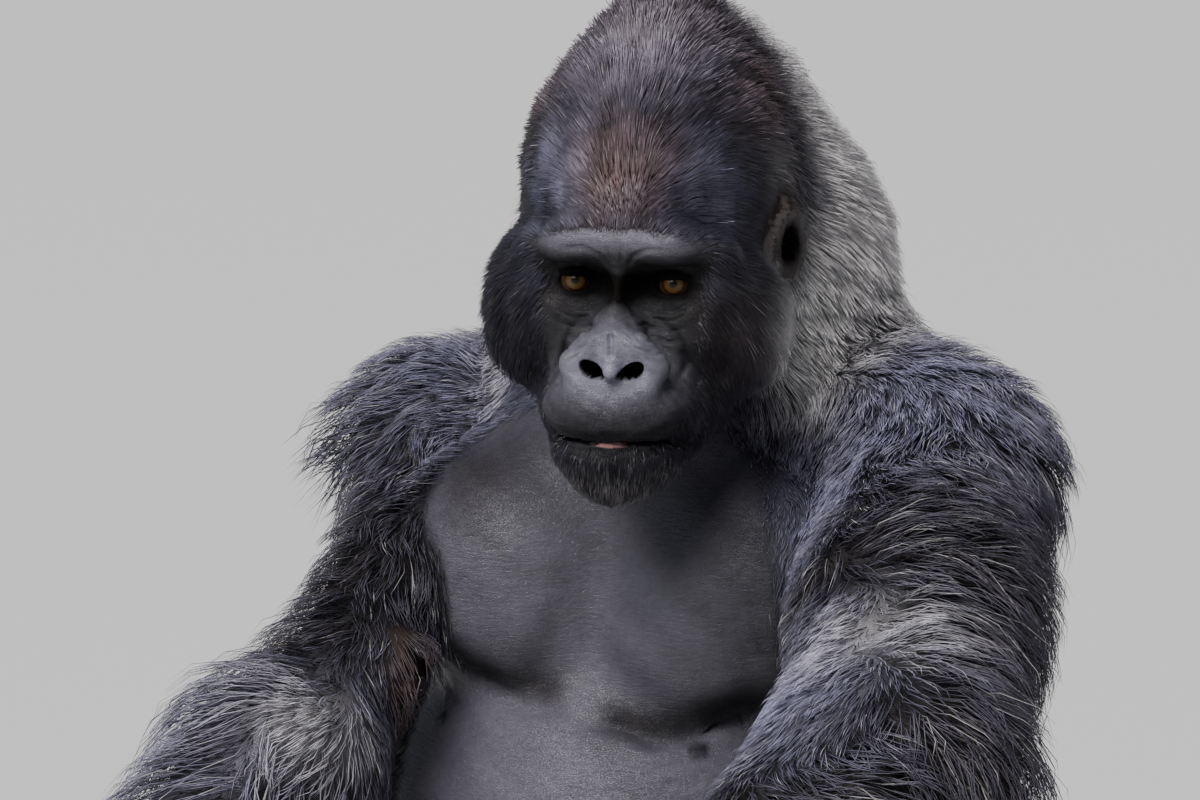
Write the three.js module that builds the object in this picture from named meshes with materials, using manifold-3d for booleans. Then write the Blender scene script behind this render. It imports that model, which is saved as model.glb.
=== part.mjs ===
// A seated adult male western lowland gorilla, life size, as one still museum figure.
// Millimetres, +Z up. The animal faces -Y, its left side is +X, and it sits on the floor z = 0.
// Every solid reaches to the tips of the coat.
import * as THREE from 'three';
import { mergeVertices } from 'three/addons/utils/BufferGeometryUtils.js';
import { LoftGeometry } from 'three/addons/geometries/LoftGeometry.js';
import Module from 'manifold-3d';

const wasm = await Module();
wasm.setup();

const at = (x, y, z) => new THREE.Vector3(x, y, z);

// Driving dimensions.
const GAP = 0.35; // clearance between neighbouring pieces
const FAR = 420; // where the rays that find a surface start
const FLOOR_SINK = 12; // how far soft flesh is flattened by the floor
const EYE_RADIUS = 12;
const EYE_SPACING = 76; // between the two pupils
const EYE_POINT = at(62, -230, 884); // midway between the pupils
const HEAD_YAW = 8; // degrees, towards the animal's left
const HEAD_PITCH = 3; // degrees, face down
const GIRDLE_X = 36; // the shoulders lean towards the animal's left
const PALM_LENGTH = 125;
const FINGER_LENGTH = 112;
const FINGER_PITCH = 28; // from one finger to the next
const FOOT_LENGTH = 285;
const TOE_PITCH = 21;
const KNEE_RADIUS = 92;

// The joints of the limbs. side +1 is the animal's left, -1 its right.
const LIMBS = {
  left: {
    side: 1,
    shoulder: at(248, 5, 702),
    middle: at(284, -170, 620),
    elbow: at(322, -345, 538),
    wrist: at(168, -590, 352),
    hip: at(128, 20, 150),
    knee: at(252, -300, 352),
    ankle: at(228, -392, 74),
    armRadii: { cap: 98, top: 96, middle: 100, bend: 109, wrist: 60 },
    handTurn: [8, -38],
    footTurn: 12,
  },
  right: {
    side: -1,
    shoulder: at(-192, 24, 688),
    middle: at(-166, -150, 610),
    elbow: at(-198, -318, 500),
    wrist: at(-286, -588, 352),
    hip: at(-128, 20, 150),
    knee: at(-268, -285, 350),
    ankle: at(-246, -382, 74),
    armRadii: { cap: 90, top: 66, middle: 52, bend: 86, wrist: 60 },
    handTurn: [10, -12],
    footTurn: -16,
  },
};

const SKIN = { color: 0x34343a, roughness: 0.55, metalness: 0 };
const COAT = { color: 0x1b1b20, roughness: 0.85, metalness: 0 };
const CROWN = { color: 0x3b2620, roughness: 0.85, metalness: 0 };
const SILVER = { color: 0x5a5a5e, roughness: 0.85, metalness: 0 };
const IRIS = { color: 0x7a4a16, roughness: 0.15, metalness: 0 };

// ---- Forms: each returns the signed distance from a point to its surface. ----

function ball(x, y, z, rx, ry = rx, rz = rx) {
  return (p) => {
    const a = (p.x - x) / rx;
    const b = (p.y - y) / ry;
    const c = (p.z - z) / rz;
    const k = Math.hypot(a, b, c);
    const g = Math.hypot(a / rx, b / ry, c / rz);
    return g < 1e-9 ? -Math.min(rx, ry, rz) : (k * (k - 1)) / g;
  };
}

// A round bar that tapers from radius ra at a to rb at b.
function bar(a, b, ra, rb = ra) {
  const run = b.clone().sub(a);
  const length2 = run.lengthSq();
  return (p) => {
    const px = p.x - a.x;
    const py = p.y - a.y;
    const pz = p.z - a.z;
    const t = THREE.MathUtils.clamp((px * run.x + py * run.y + pz * run.z) / length2, 0, 1);
    return Math.hypot(px - run.x * t, py - run.y * t, pz - run.z * t) - ra - (rb - ra) * t;
  };
}

function softMin(a, b, k) {
  const h = Math.max(k - Math.abs(a - b), 0) / k;
  return Math.min(a, b) - h * h * k * 0.25;
}

// Flesh that runs together over a width k.
const blend = (k, ...forms) => (p) => forms.reduce((d, form) => softMin(d, form(p), k), 1e3);

// A form with hollows pressed into it over a width k.
const carve = (k, form, ...hollows) => (p) =>
  hollows.reduce((d, hollow) => -softMin(-d, hollow(p), k), form(p));

// The same form on both sides of the middle plane.
const pair = (make) => [make(1), make(-1)];

// A form described in the frame of a pose.
function posed(pose, form) {
  const back = pose.clone().invert();
  const q = at(0, 0, 0);
  return (p) => form(q.copy(p).applyMatrix4(back));
}

// ---- Surfaces: a three.js geometry drawn in along rays until it meets a form. ----

function landing(foot, ray, form, grow) {
  const p = at(0, 0, 0);
  const depth = (t) => form(p.copy(foot).addScaledVector(ray, t)) - grow;
  let outer = FAR;
  let inner = FAR;
  for (let i = 0; i < 120 && inner > 1; i += 1) {
    const d = depth(inner);
    if (d <= 0) break;
    outer = inner;
    inner = Math.max(inner - Math.max(d * 0.6, 0.4), 1);
  }
  for (let i = 0; i < 14; i += 1) {
    const mid = (outer + inner) / 2;
    if (depth(mid) > 0) outer = mid;
    else inner = mid;
  }
  return at(0, 0, 0).copy(foot).addScaledVector(ray, inner);
}

// Closes a geometry and keeps only its positions.
function closed(geometry) {
  const bare = new THREE.BufferGeometry().copy(geometry);
  bare.deleteAttribute('normal');
  bare.deleteAttribute('uv');
  return mergeVertices(bare, 1e-4);
}

function shrink(geometry, a, b, form, grow) {
  const mesh = closed(geometry);
  const place = mesh.attributes.position;
  const axis = new THREE.Line3(a, b);
  const v = at(0, 0, 0);
  const foot = at(0, 0, 0);
  for (let i = 0; i < place.count; i += 1) {
    v.fromBufferAttribute(place, i);
    axis.closestPointToPoint(v, true, foot);
    const ray = v.clone().sub(foot).normalize();
    const hit = landing(foot, ray, form, grow);
    place.setXYZ(i, hit.x, hit.y, hit.z);
  }
  return mesh;
}

// A capsule round the line a-b, drawn in onto the form.
function wrapBar(a, b, [around, along, cap], form, grow = 0) {
  const run = b.clone().sub(a);
  const capsule = new THREE.CapsuleGeometry(60, run.length(), cap, around, along);
  const turn = new THREE.Quaternion().setFromUnitVectors(at(0, 1, 0), run.clone().normalize());
  capsule.applyQuaternion(turn);
  capsule.translate(...a.clone().add(b).multiplyScalar(0.5).toArray());
  return shrink(capsule, a, b, form, grow);
}

// A ball round one point, with its rings drawn closer together towards the pole.
function wrapBall(centre, pole, [around, rings, crowd], form, grow = 0) {
  const sphere = new THREE.SphereGeometry(60, around, rings);
  const place = sphere.attributes.position;
  const v = at(0, 0, 0);
  for (let i = 0; i < place.count; i += 1) {
    v.fromBufferAttribute(place, i).normalize();
    const angle = Math.acos(THREE.MathUtils.clamp(v.y, -1, 1));
    const drawn = Math.PI * (angle / Math.PI) ** crowd;
    const spread = Math.sin(angle) < 1e-6 ? 0 : Math.sin(drawn) / Math.sin(angle);
    place.setXYZ(i, v.x * spread * 60, Math.cos(drawn) * 60, v.z * spread * 60);
  }
  sphere.applyQuaternion(new THREE.Quaternion().setFromUnitVectors(at(0, 1, 0), pole));
  sphere.translate(...centre.toArray());
  return shrink(sphere, centre, centre, form, grow);
}

// ---- Joining and cutting. ----

function solid(geometry) {
  const mesh = closed(geometry);
  return new wasm.Manifold(
    new wasm.Mesh({
      numProp: 3,
      vertProperties: new Float32Array(mesh.attributes.position.array),
      triVerts: new Uint32Array(mesh.index.array),
    }),
  );
}

function geometryOf(body) {
  const mesh = body.getMesh();
  const geometry = new THREE.BufferGeometry();
  geometry.setAttribute('position', new THREE.BufferAttribute(mesh.vertProperties, 3));
  geometry.setIndex(new THREE.BufferAttribute(mesh.triVerts, 1));
  return geometry;
}

const cut = (body, ...tools) => tools.reduce((rest, tool) => rest.subtract(tool), body);
const join = (...bodies) => bodies.reduce((whole, body) => whole.add(body));

function block(x0, x1, y0, y1, z0, z1) {
  const box = new THREE.BoxGeometry(x1 - x0, y1 - y0, z1 - z0);
  return solid(box.translate((x0 + x1) / 2, (y0 + y1) / 2, (z0 + z1) / 2));
}

const floor = block(-900, 900, -900, 900, -200, 0);

// Everything past a plane, which starts half a gap before the point.
function past(point, normal) {
  const box = new THREE.BoxGeometry(900, 900, 900);
  box.translate(0, 0, 450 - GAP / 2);
  box.applyQuaternion(new THREE.Quaternion().setFromUnitVectors(at(0, 0, 1), normal));
  return solid(box.translate(...point.toArray()));
}

// The two tools that part a limb at a bent joint, along the plane that halves the bend.
function parting(before, joint, after) {
  const one = joint.clone().sub(before).normalize();
  const two = after.clone().sub(joint).normalize();
  const normal = one.add(two).normalize();
  return [past(joint, normal), past(joint, normal.clone().negate())];
}

// Finger or toe: a tapering loft of small rings along its bones.
function digit(points, radii, sides = 5) {
  const sections = [];
  const ring = (centre, ahead, radius) => {
    const turn = new THREE.Quaternion().setFromUnitVectors(at(0, 0, 1), ahead);
    return Array.from({ length: sides }, (_, i) => {
      const angle = (2 * Math.PI * i) / sides;
      const spoke = at(Math.cos(angle) * radius, Math.sin(angle) * radius, 0);
      return spoke.applyQuaternion(turn).add(centre);
    });
  };
  points.forEach((point, i) => {
    const before = points[Math.max(i - 1, 0)];
    const after = points[Math.min(i + 1, points.length - 1)];
    const ahead = after.clone().sub(before).normalize();
    sections.push(ring(point, ahead, radii[i]));
    if (i === points.length - 1) {
      sections.push(ring(point.clone().addScaledVector(ahead, radii[i] * 0.7), ahead, radii[i] * 0.6));
    }
  });
  return solid(new LoftGeometry(sections, { capStart: true, capEnd: true }));
}

// ---- The head, in its own frame: x to its left, y back, z up, from midway between the pupils. ----

const headPose = new THREE.Matrix4().compose(
  EYE_POINT,
  new THREE.Quaternion().setFromEuler(
    new THREE.Euler(
      THREE.MathUtils.degToRad(HEAD_PITCH), 0, THREE.MathUtils.degToRad(HEAD_YAW), 'ZYX'),
  ),
  at(1, 1, 1),
);
const onHead = (x, y, z) => at(x, y, z).applyMatrix4(headPose);

const cranium = (inset) => blend(
  26,
  ball(0, 125, 60, 98 - inset, 112 - inset, 112 - inset),
  ball(0, 185, 104, 64 - inset, 100 - inset, 88 - inset),
);
const skull = blend(26, cranium(0), ball(0, 46, 72, 66, 50, 50), ball(0, 60, -40, 84, 66, 72));
const cheeks = blend(22, ...pair((s) => ball(s * 80, 62, -26, 47, 52, 80)));
const jaw = blend(24, ball(0, 46, -100, 76, 76, 52), ball(0, -2, -128, 42, 48, 30));
const brow = blend(
  14,
  bar(at(-40, -5, 37), at(40, -5, 37), 17),
  ...pair((s) => bar(at(s * 40, -5, 38), at(s * 72, 18, 25), 17, 16)),
);
const midFace = blend(
  16,
  bar(at(0, 4, 18), at(0, -22, -26), 15, 19),
  ...pair((s) => ball(s * 42, 16, -34, 34, 26, 30)),
  ...pair((s) => ball(s * 70, 34, -12, 24, 36, 34)),
);
const muzzle = blend(
  12,
  ball(0, -22, -88, 60, 52, 34),
  ball(0, -16, -124, 50, 48, 27),
  ball(0, -34, -146, 26, 24, 15),
);
const nose = blend(
  8,
  ball(0, -32, -54, 38, 26, 29),
  ...pair((s) => ball(s * 14, -46, -38, 18, 14, 14)),
  ...pair((s) => ball(s * 28, -42, -54, 15, 15, 20)),
  ...pair((s) => ball(s * 15, -50, -71, 17, 12, 10)),
);
const sockets = pair((s) => ball(s * (EYE_SPACING / 2), -16, 2, 21, 23, 12));
const nostrils = pair((s) => bar(at(s * 9, -66, -57), at(s * 20, -61, -52), 5.5, 7));
const mouth = [
  bar(at(-28, -72, -107), at(28, -72, -107), 3.5),
  ...pair((s) => bar(at(s * 28, -72, -107), at(s * 54, -46, -110), 3.5)),
];
const furredHead = blend(20, skull, cheeks, jaw);
const bareFace = blend(9, blend(12, brow, midFace, muzzle), nose);
const headForm = carve(
  4,
  carve(5, carve(8, blend(20, furredHead, bareFace), ...sockets), ...nostrils),
  ...mouth,
);

// ---- The rest of the body, in the world frame. ----

const NAPE_INSET = 5; // keeps the back of the skull just inside the head's own surface
const neckForm = blend(
  50,
  ball(GIRDLE_X, 0, 955, 104, 118, 108),
  ball(GIRDLE_X, 34, 880, 142, 132, 100),
  bar(at(GIRDLE_X, 40, 826), at(GIRDLE_X, 56, 700), 150, 170),
  posed(headPose, cranium(NAPE_INSET)),
);

const breast = (s) => ball(GIRDLE_X * 0.4 + s * 98, -78, 622, 104, 92, 96);
const beside = (limb, x, y, z) => limb.shoulder.clone().add(at(limb.side * x, y, z));
const yoke = (limb) => blend(
  40,
  bar(at(GIRDLE_X, 96, 836), beside(limb, -56, 50, -8), 84, 64),
  bar(at(GIRDLE_X + limb.side * 60, 84, 740), beside(limb, -30, 30, 0), 94, 80),
  ball(...beside(limb, -24, 52, -24).toArray(), 88, 96, 90),
  ball(GIRDLE_X * 0.6 + limb.side * 150, 80, 600, 92, 120, 150),
);
const trunkForm = blend(
  60,
  ball(16, 46, 590, 208, 170, 200),
  ball(GIRDLE_X * 0.7, 116, 600, 206, 142, 220),
  yoke(LIMBS.left),
  yoke(LIMBS.right),
  blend(26, breast(1), breast(-1)),
  ball(-4, -34, 350, 230, 214, 226),
  ball(4, 104, 360, 214, 140, 250),
  ball(0, 76, 150, 232, 176, 150 + FLOOR_SINK),
);

const SHOULDER_CREST = ball(210, 14, 734, 72, 84, 74);

function armForm(limb) {
  const { cap, top, middle, bend } = limb.armRadii;
  const crest = limb.side > 0 ? [SHOULDER_CREST] : [];
  return blend(
    30,
    ball(...limb.shoulder.toArray(), cap),
    bar(limb.shoulder.clone().lerp(limb.middle, 0.2), limb.middle, top, middle),
    bar(limb.middle, limb.elbow, middle, bend - 8),
    ball(...limb.elbow.toArray(), bend),
    ...crest,
  );
}

function forearmForm(limb) {
  const { bend, wrist } = limb.armRadii;
  const belly = limb.elbow.clone().lerp(limb.wrist, 0.3);
  return blend(
    30,
    ball(...limb.elbow.toArray(), bend),
    bar(limb.elbow, belly, bend - 4, bend - 12),
    bar(belly, limb.wrist, bend - 14, wrist),
  );
}

function thighForm(limb) {
  return blend(
    40,
    bar(limb.hip, limb.knee, 118, 90),
    ball(...limb.hip.clone().add(at(limb.side * 24, 40, -24)).toArray(), 116, 122, 116),
    ball(...limb.knee.toArray(), KNEE_RADIUS),
  );
}

function shinForm(limb) {
  const calf = limb.knee.clone().lerp(limb.ankle, 0.35).add(at(0, 22, 0));
  return blend(
    30,
    ball(...limb.knee.toArray(), KNEE_RADIUS),
    bar(limb.knee, limb.ankle, 84, 58),
    bar(calf, limb.ankle, 82, 56),
  );
}

// ---- Pieces. ----

const pieces = [];
const add = (name, body, look) => pieces.push({ name, body, look });

// Eyes sit in their sockets.
const eyes = { left: 1, right: -1 };
const eyeAt = (side) => onHead(side * (EYE_SPACING / 2), EYE_RADIUS, 0);
function eyeball(side, grow) {
  const sphere = new THREE.SphereGeometry(EYE_RADIUS + grow, 11, 8);
  return solid(sphere.translate(...eyeAt(side).toArray()));
}
for (const [name, side] of Object.entries(eyes)) {
  add(`eye_${name}`, eyeball(side, 0), IRIS);
}

const HEAD_GRAIN = [44, 25, 1.45];
const headCore = onHead(0, 58, -8);
const faceAxis = onHead(0, -72, -62).sub(headCore).normalize();
const headWrap = (grow) =>
  solid(wrapBall(headCore, faceAxis, HEAD_GRAIN, posed(headPose, headForm), grow));
// The head ends on a plane behind the ears, where the nape takes over.
const napeNormal = onHead(0, 1, 0).sub(onHead(0, 0, 0));
const napeAt = (y) => past(onHead(0, y, 0), napeNormal);
const NAPE_Y = 152;
const headTool = cut(headWrap(GAP), napeAt(NAPE_Y + GAP));
const head = cut(headWrap(0), napeAt(NAPE_Y), eyeball(1, GAP), eyeball(-1, GAP));

// An ear is a small dished oval that stands off the side of the head.
function ear(side, grow) {
  const plate = ball(0, 0, 0, 8.5, 19, 29);
  const dish = ball(9, -3, -1, 7, 11, 19);
  const lobe = ball(1, -4, -22, 7, 11, 10);
  const pose = headPose.clone().multiply(
    new THREE.Matrix4().compose(
      at(side * 106, 118, 8),
      new THREE.Quaternion().setFromEuler(new THREE.Euler(0.16, 0, side * -0.45)),
      at(1, 1, 1),
    ),
  );
  const mirrored = (p) => carve(4, blend(8, plate, lobe), dish)(at(p.x * side, p.y, p.z));
  const centre = at(0, 0, 0).applyMatrix4(pose);
  return solid(wrapBall(centre, at(0, 0, 1), [10, 7, 1], posed(pose, mirrored), grow));
}

// Neck and trunk share one surface, and part on a plane that rises from the throat to the nape.
const torsoForm = blend(44, trunkForm, neckForm);
const throat = at(GIRDLE_X, 0, 786);
const throatNormal = at(0, -0.42, 0.9).normalize();
const aboveThroat = past(throat, throatNormal);
const belowThroat = past(throat, throatNormal.clone().negate());
const neckWrap = wrapBar(
  at(GIRDLE_X, 20, 740), at(GIRDLE_X, 10, 950), [18, 4, 3], torsoForm);
const trunkWrap = wrapBar(at(0, 30, 180), at(24, 30, 690), [26, 8, 5], torsoForm);

const LIMB_GRAIN = [12, 4, 3];
const limbWrap = (a, b, form) => (grow) => solid(wrapBar(a, b, LIMB_GRAIN, form, grow));

// The hand hangs from the wrist: fingers down, palm back, thumb inward.
function hand(limb) {
  const [spread, lean] = limb.handTurn;
  const pose = new THREE.Matrix4().compose(
    limb.wrist,
    new THREE.Quaternion().setFromEuler(new THREE.Euler(
      THREE.MathUtils.degToRad(spread), 0, THREE.MathUtils.degToRad(lean), 'ZYX')),
    at(1, 1, 1),
  );
  const here = (x, y, z) => at(x, y, z).applyMatrix4(pose);
  const palmForm = blend(
    16,
    ball(0, 0, -18, 50, 38, 42),
    ...pair((s) => bar(at(s * 24, -2, -30), at(s * 38, 0, -PALM_LENGTH + 14), 30, 23)),
  );
  const palm = wrapBar(here(0, 0, -30), here(0, 0, -95), [9, 2, 2], posed(pose, palmForm));
  const parts = [solid(palm)];
  const lengths = [0.9, 1, 0.98, 0.82];
  lengths.forEach((share, i) => {
    const x = (1.5 - i) * FINGER_PITCH * limb.side;
    const reach = FINGER_LENGTH * share;
    const bones = [
      here(x, 2, -PALM_LENGTH + 18),
      here(x * 1.05, -2, -PALM_LENGTH - reach * 0.3),
      here(x * 1.02, 12, -PALM_LENGTH - reach * 0.66),
      here(x * 0.98, 34, -PALM_LENGTH - reach * 0.92),
    ];
    parts.push(digit(bones, [17, 16, 15, 12]));
  });
  const inward = -limb.side;
  parts.push(digit(
    [here(inward * 28, 6, -30), here(inward * 54, 16, -60), here(inward * 60, 26, -96)],
    [20, 15, 11],
  ));
  return join(...parts);
}

// The foot stands flat, with the great toe set apart like a thumb.
function foot(limb) {
  const pose = new THREE.Matrix4().compose(
    at(limb.ankle.x, limb.ankle.y, 0),
    new THREE.Quaternion().setFromEuler(
      new THREE.Euler(0, 0, THREE.MathUtils.degToRad(limb.footTurn))),
    at(1, 1, 1),
  );
  const here = (x, y, z) => at(x, y, z).applyMatrix4(pose);
  const heelY = 66;
  const ballY = heelY - FOOT_LENGTH * 0.66;
  const soleForm = blend(
    24,
    ball(0, heelY - 40, 36, 44, 46, 44),
    ball(0, 0, 58, 54, 56, 50),
    bar(at(0, heelY - 60, 28), at(limb.side * 8, ballY, 18), 44, 40),
    bar(at(limb.side * 14, heelY - 70, 26), at(limb.side * 28, ballY + 10, 15), 34, 31),
  );
  const sole = wrapBar(here(0, 30, 26), here(0, -90, 20), [9, 2, 2], posed(pose, soleForm));
  const parts = [solid(sole)];
  const lengths = [1, 1, 0.94, 0.82];
  lengths.forEach((share, i) => {
    const x = limb.side * (-18 + i * TOE_PITCH);
    const tip = ballY - FOOT_LENGTH * 0.3 * share;
    const bones = [
      here(x * 0.9, ballY + 22, 18),
      here(x, ballY - 30, 20),
      here(x * 1.05, tip + 8, 8),
    ];
    parts.push(digit(bones, [16, 14.5, 12]));
  });
  parts.push(digit(
    [
      here(-limb.side * 20, -22, 24),
      here(-limb.side * 52, -84, 22),
      here(-limb.side * 64, -134, 12),
    ],
    [26, 20, 15],
  ));
  return cut(join(...parts), floor);
}

const limbs = Object.fromEntries(Object.entries(LIMBS).map(([name, limb]) => {
  const upperStart = limb.shoulder.clone().lerp(limb.elbow, 0.05);
  const lowerEnd = limb.elbow.clone().lerp(limb.wrist, 0.98);
  const shinEnd = limb.knee.clone().lerp(limb.ankle, 0.97);
  return [name, {
    upperArm: limbWrap(upperStart, limb.elbow, armForm(limb)),
    forearm: limbWrap(limb.elbow, lowerEnd, forearmForm(limb)),
    thigh: limbWrap(limb.hip, limb.knee, thighForm(limb)),
    shin: limbWrap(limb.knee, shinEnd, shinForm(limb)),
  }];
}));

// The long hair of the right shoulder stands out sideways in a tuft.
const shoulderTuft = digit(
  [at(-226, -18, 690), at(-268, -14, 700), at(-296, -10, 704)],
  [42, 30, 15],
);

const upperArms = Object.values(limbs).map((limb) => limb.upperArm(GAP));
const thighs = Object.values(limbs).map((limb) => limb.thigh(GAP));

add('head', head, CROWN);
for (const [name, side] of Object.entries(eyes)) {
  add(`ear_${name}`, cut(ear(side, 0), headTool), SKIN);
}
const earTools = pair((side) => ear(side, GAP));
add('neck', cut(solid(neckWrap), belowThroat, headTool, ...earTools, ...upperArms), SILVER);

const trunk = cut(solid(trunkWrap), aboveThroat, floor, headTool, ...upperArms, ...thighs);
const WAIST_Z = 470;
add('chest', cut(trunk, block(-600, 600, -600, 600, -100, WAIST_Z + GAP / 2)), SKIN);
add('belly_and_rump', cut(trunk, block(-600, 600, -600, 600, WAIST_Z - GAP / 2, 1200)), SKIN);

for (const [name, limb] of Object.entries(LIMBS)) {
  const own = limbs[name];
  const lap = [own.thigh(GAP), own.shin(GAP)];
  const [pastElbow, beforeElbow] = parting(limb.shoulder, limb.elbow, limb.wrist);
  const [pastKnee, beforeKnee] = parting(limb.hip, limb.knee, limb.ankle);
  const flanks = limb.side > 0 ? [] : [shoulderTuft];
  add(`upper_arm_${name}`, cut(join(own.upperArm(0), ...flanks), pastElbow, ...lap), COAT);
  add(`forearm_${name}`, cut(own.forearm(0), beforeElbow, ...lap), COAT);
  add(`hand_${name}`, cut(hand(limb), own.forearm(GAP)), SKIN);
  add(`thigh_${name}`, cut(own.thigh(0), pastKnee, floor), COAT);
  add(`shin_${name}`, cut(own.shin(0), beforeKnee), COAT);
  add(`foot_${name}`, cut(foot(limb), own.shin(GAP)), SKIN);
}

const gorilla = new THREE.Group();
for (const { name, body, look } of pieces) {
  const mesh = new THREE.Mesh(geometryOf(body), new THREE.MeshStandardMaterial(look));
  mesh.name = name;
  gorilla.add(mesh);
}

// The origin is on the floor, under the middle of the whole animal.
const extent = new THREE.Box3().setFromObject(gorilla);
const middle = extent.getCenter(at(0, 0, 0));
gorilla.position.set(-middle.x, -middle.y, 0);

export default gorilla;
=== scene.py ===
# %% [markdown]
# # A silverback gorilla, sitting
# The solids of the animal come in as a fixed frame. They already have its size, its pose and
# its outline out to the tips of the coat. This lesson dresses them: one skin without a seam,
# two eyes, nails, and a coat of small solid tufts that are combed over the skin.

# %% Load the frame
import math
import time

import bpy
import numpy as np
from mathutils import Matrix, Vector
from mathutils.kdtree import KDTree


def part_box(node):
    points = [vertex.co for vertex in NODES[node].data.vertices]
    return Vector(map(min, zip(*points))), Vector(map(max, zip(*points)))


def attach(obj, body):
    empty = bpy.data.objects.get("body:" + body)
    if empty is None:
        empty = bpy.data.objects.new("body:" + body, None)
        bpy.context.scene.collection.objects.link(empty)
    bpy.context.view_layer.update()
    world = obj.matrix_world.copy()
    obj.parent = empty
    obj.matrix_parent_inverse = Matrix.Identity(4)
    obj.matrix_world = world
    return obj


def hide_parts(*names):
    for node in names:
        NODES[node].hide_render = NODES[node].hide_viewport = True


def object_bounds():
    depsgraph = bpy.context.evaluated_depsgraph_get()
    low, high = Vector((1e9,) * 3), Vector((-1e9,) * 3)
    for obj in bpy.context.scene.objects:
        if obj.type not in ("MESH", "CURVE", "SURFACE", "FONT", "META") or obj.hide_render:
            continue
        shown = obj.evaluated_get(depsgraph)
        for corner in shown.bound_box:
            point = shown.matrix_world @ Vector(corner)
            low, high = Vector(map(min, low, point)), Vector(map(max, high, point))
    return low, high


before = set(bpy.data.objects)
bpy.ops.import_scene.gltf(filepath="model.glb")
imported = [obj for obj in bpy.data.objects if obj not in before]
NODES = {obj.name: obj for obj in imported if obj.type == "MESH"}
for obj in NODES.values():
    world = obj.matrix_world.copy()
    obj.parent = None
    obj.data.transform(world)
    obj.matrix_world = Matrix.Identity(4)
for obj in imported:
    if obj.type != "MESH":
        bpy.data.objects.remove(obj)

STARTED = time.time()
CAD_BOX = [list(corner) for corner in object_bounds()]
print("solids:", len(NODES), "box:", [[round(v, 3) for v in corner] for corner in CAD_BOX])

# %% [markdown]
# ## One frame for the anatomy
# The forms of the body are easiest to name in millimetres, in the animal's own frame, as an
# anatomist would. The two eyes tie that frame to the solids: their centres are known in both.
# The head has a frame of its own: x to its left, y to the back, z up, from midway between the
# pupils. The forms could be written in metres in the shared frame, but then every number
# would hide the pose, and none could be compared with a real animal.

# %% The animal's frame and the head's frame
EYE_RADIUS = 12.0
EYE_SPACING = 76.0
EYE_POINT = np.array([62.0, -230.0, 884.0])
HEAD_YAW = math.radians(8)
HEAD_PITCH = math.radians(3)


def turn_x(angle):
    c, s = math.cos(angle), math.sin(angle)
    return np.array([[1, 0, 0], [0, c, -s], [0, s, c]])


def turn_z(angle):
    c, s = math.cos(angle), math.sin(angle)
    return np.array([[c, -s, 0], [s, c, 0], [0, 0, 1]])


HEAD_TURN = turn_z(HEAD_YAW) @ turn_x(HEAD_PITCH)


def on_head(x, y, z):
    return HEAD_TURN @ np.array([x, y, z], float) + EYE_POINT


def to_head(points):
    return (points - EYE_POINT) @ HEAD_TURN


def eye_box_centre(node):
    low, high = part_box(node)
    return np.array([low.x + EYE_RADIUS / 1000, (low.y + high.y) / 2, (low.z + high.z) / 2])


eyes_middle = (eye_box_centre("eye_left") + eye_box_centre("eye_right")) / 2
SHIFT = eyes_middle * 1000 - on_head(0, EYE_RADIUS, 0)


def to_frame(points):
    return (points + SHIFT) / 1000


def to_animal(points):
    return points * 1000 - SHIFT


print("animal frame sits at", np.round(SHIFT, 2), "mm")

# %% [markdown]
# ## The camera
# A long lens from a few metres away, a little above the animal and towards its left side, with
# the head high in the picture. The place is worked out from the pupils. An empty to track
# would aim it too, but a plain matrix needs no constraint and stays as it is written.

# %% Camera
AZIMUTH = math.radians(20)
ELEVATION = math.radians(12)
DISTANCE = 5.5
LENS = 217.1
BESIDE_PUPILS = 0.0167
BELOW_PUPILS = 0.0874

ahead = np.array([
    -math.sin(AZIMUTH) * math.cos(ELEVATION),
    math.cos(AZIMUTH) * math.cos(ELEVATION),
    -math.sin(ELEVATION),
])
rightward = np.array([math.cos(AZIMUTH), math.sin(AZIMUTH), 0.0])
upward = np.cross(rightward, ahead)
pupils = to_frame(EYE_POINT)
eye_level = pupils - rightward * BESIDE_PUPILS - upward * BELOW_PUPILS

bpy.ops.object.select_all(action="DESELECT")
bpy.ops.object.camera_add()
camera = bpy.context.object
camera.name = "camera"
camera.data.lens = LENS
camera.data.sensor_width = 36
camera.data.clip_end = 200
place = eye_level - ahead * DISTANCE
columns = zip(rightward, upward, -ahead, place)
camera.matrix_world = Matrix([*columns, (0, 0, 0, 1)])
bpy.context.scene.camera = camera
print("camera at", [round(v, 2) for v in camera.location])

# %% [markdown]
# ## Forms
# Flesh is described by a few rounded forms. Each form is a function that gives the distance
# from a point to its surface, negative inside. Forms that run together are blended over a
# width, and hollows are pressed in the same way. Flesh could be sculpted by hand, or made with
# metaballs, but neither knows the distance to its own surface, which the hair needs. The same
# forms shaped the solids, so the skin fits them without measuring a single vertex.

# %% Form tools
FAR_AWAY = 80


def ball(x, y, z, rx, ry=None, rz=None):
    ry = rx if ry is None else ry
    rz = rx if rz is None else rz

    def form(p):
        a, b, c = (p[:, 0] - x) / rx, (p[:, 1] - y) / ry, (p[:, 2] - z) / rz
        k = np.sqrt(a * a + b * b + c * c)
        slope = np.sqrt((a / rx) ** 2 + (b / ry) ** 2 + (c / rz) ** 2)
        return k * (k - 1) / np.maximum(slope, 1e-6)

    return form


def bar(a, b, ra, rb=None):
    a, b = np.array(a, float), np.array(b, float)
    rb = ra if rb is None else rb
    run = b - a
    square = run @ run

    def form(p):
        q = p - a
        t = np.clip(q @ run / square, 0, 1)
        q = q - t[:, None] * run
        return np.sqrt((q * q).sum(1)) - ra - (rb - ra) * t

    return form


def soft_min(a, b, k):
    h = np.maximum(k - np.abs(a - b), 0) / k
    return np.minimum(a, b) - h * h * k * 0.25


def blend(k, *forms):
    def form(p):
        d = forms[0](p)
        for other in forms[1:]:
            d = soft_min(d, other(p), k)
        return d

    return form


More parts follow.
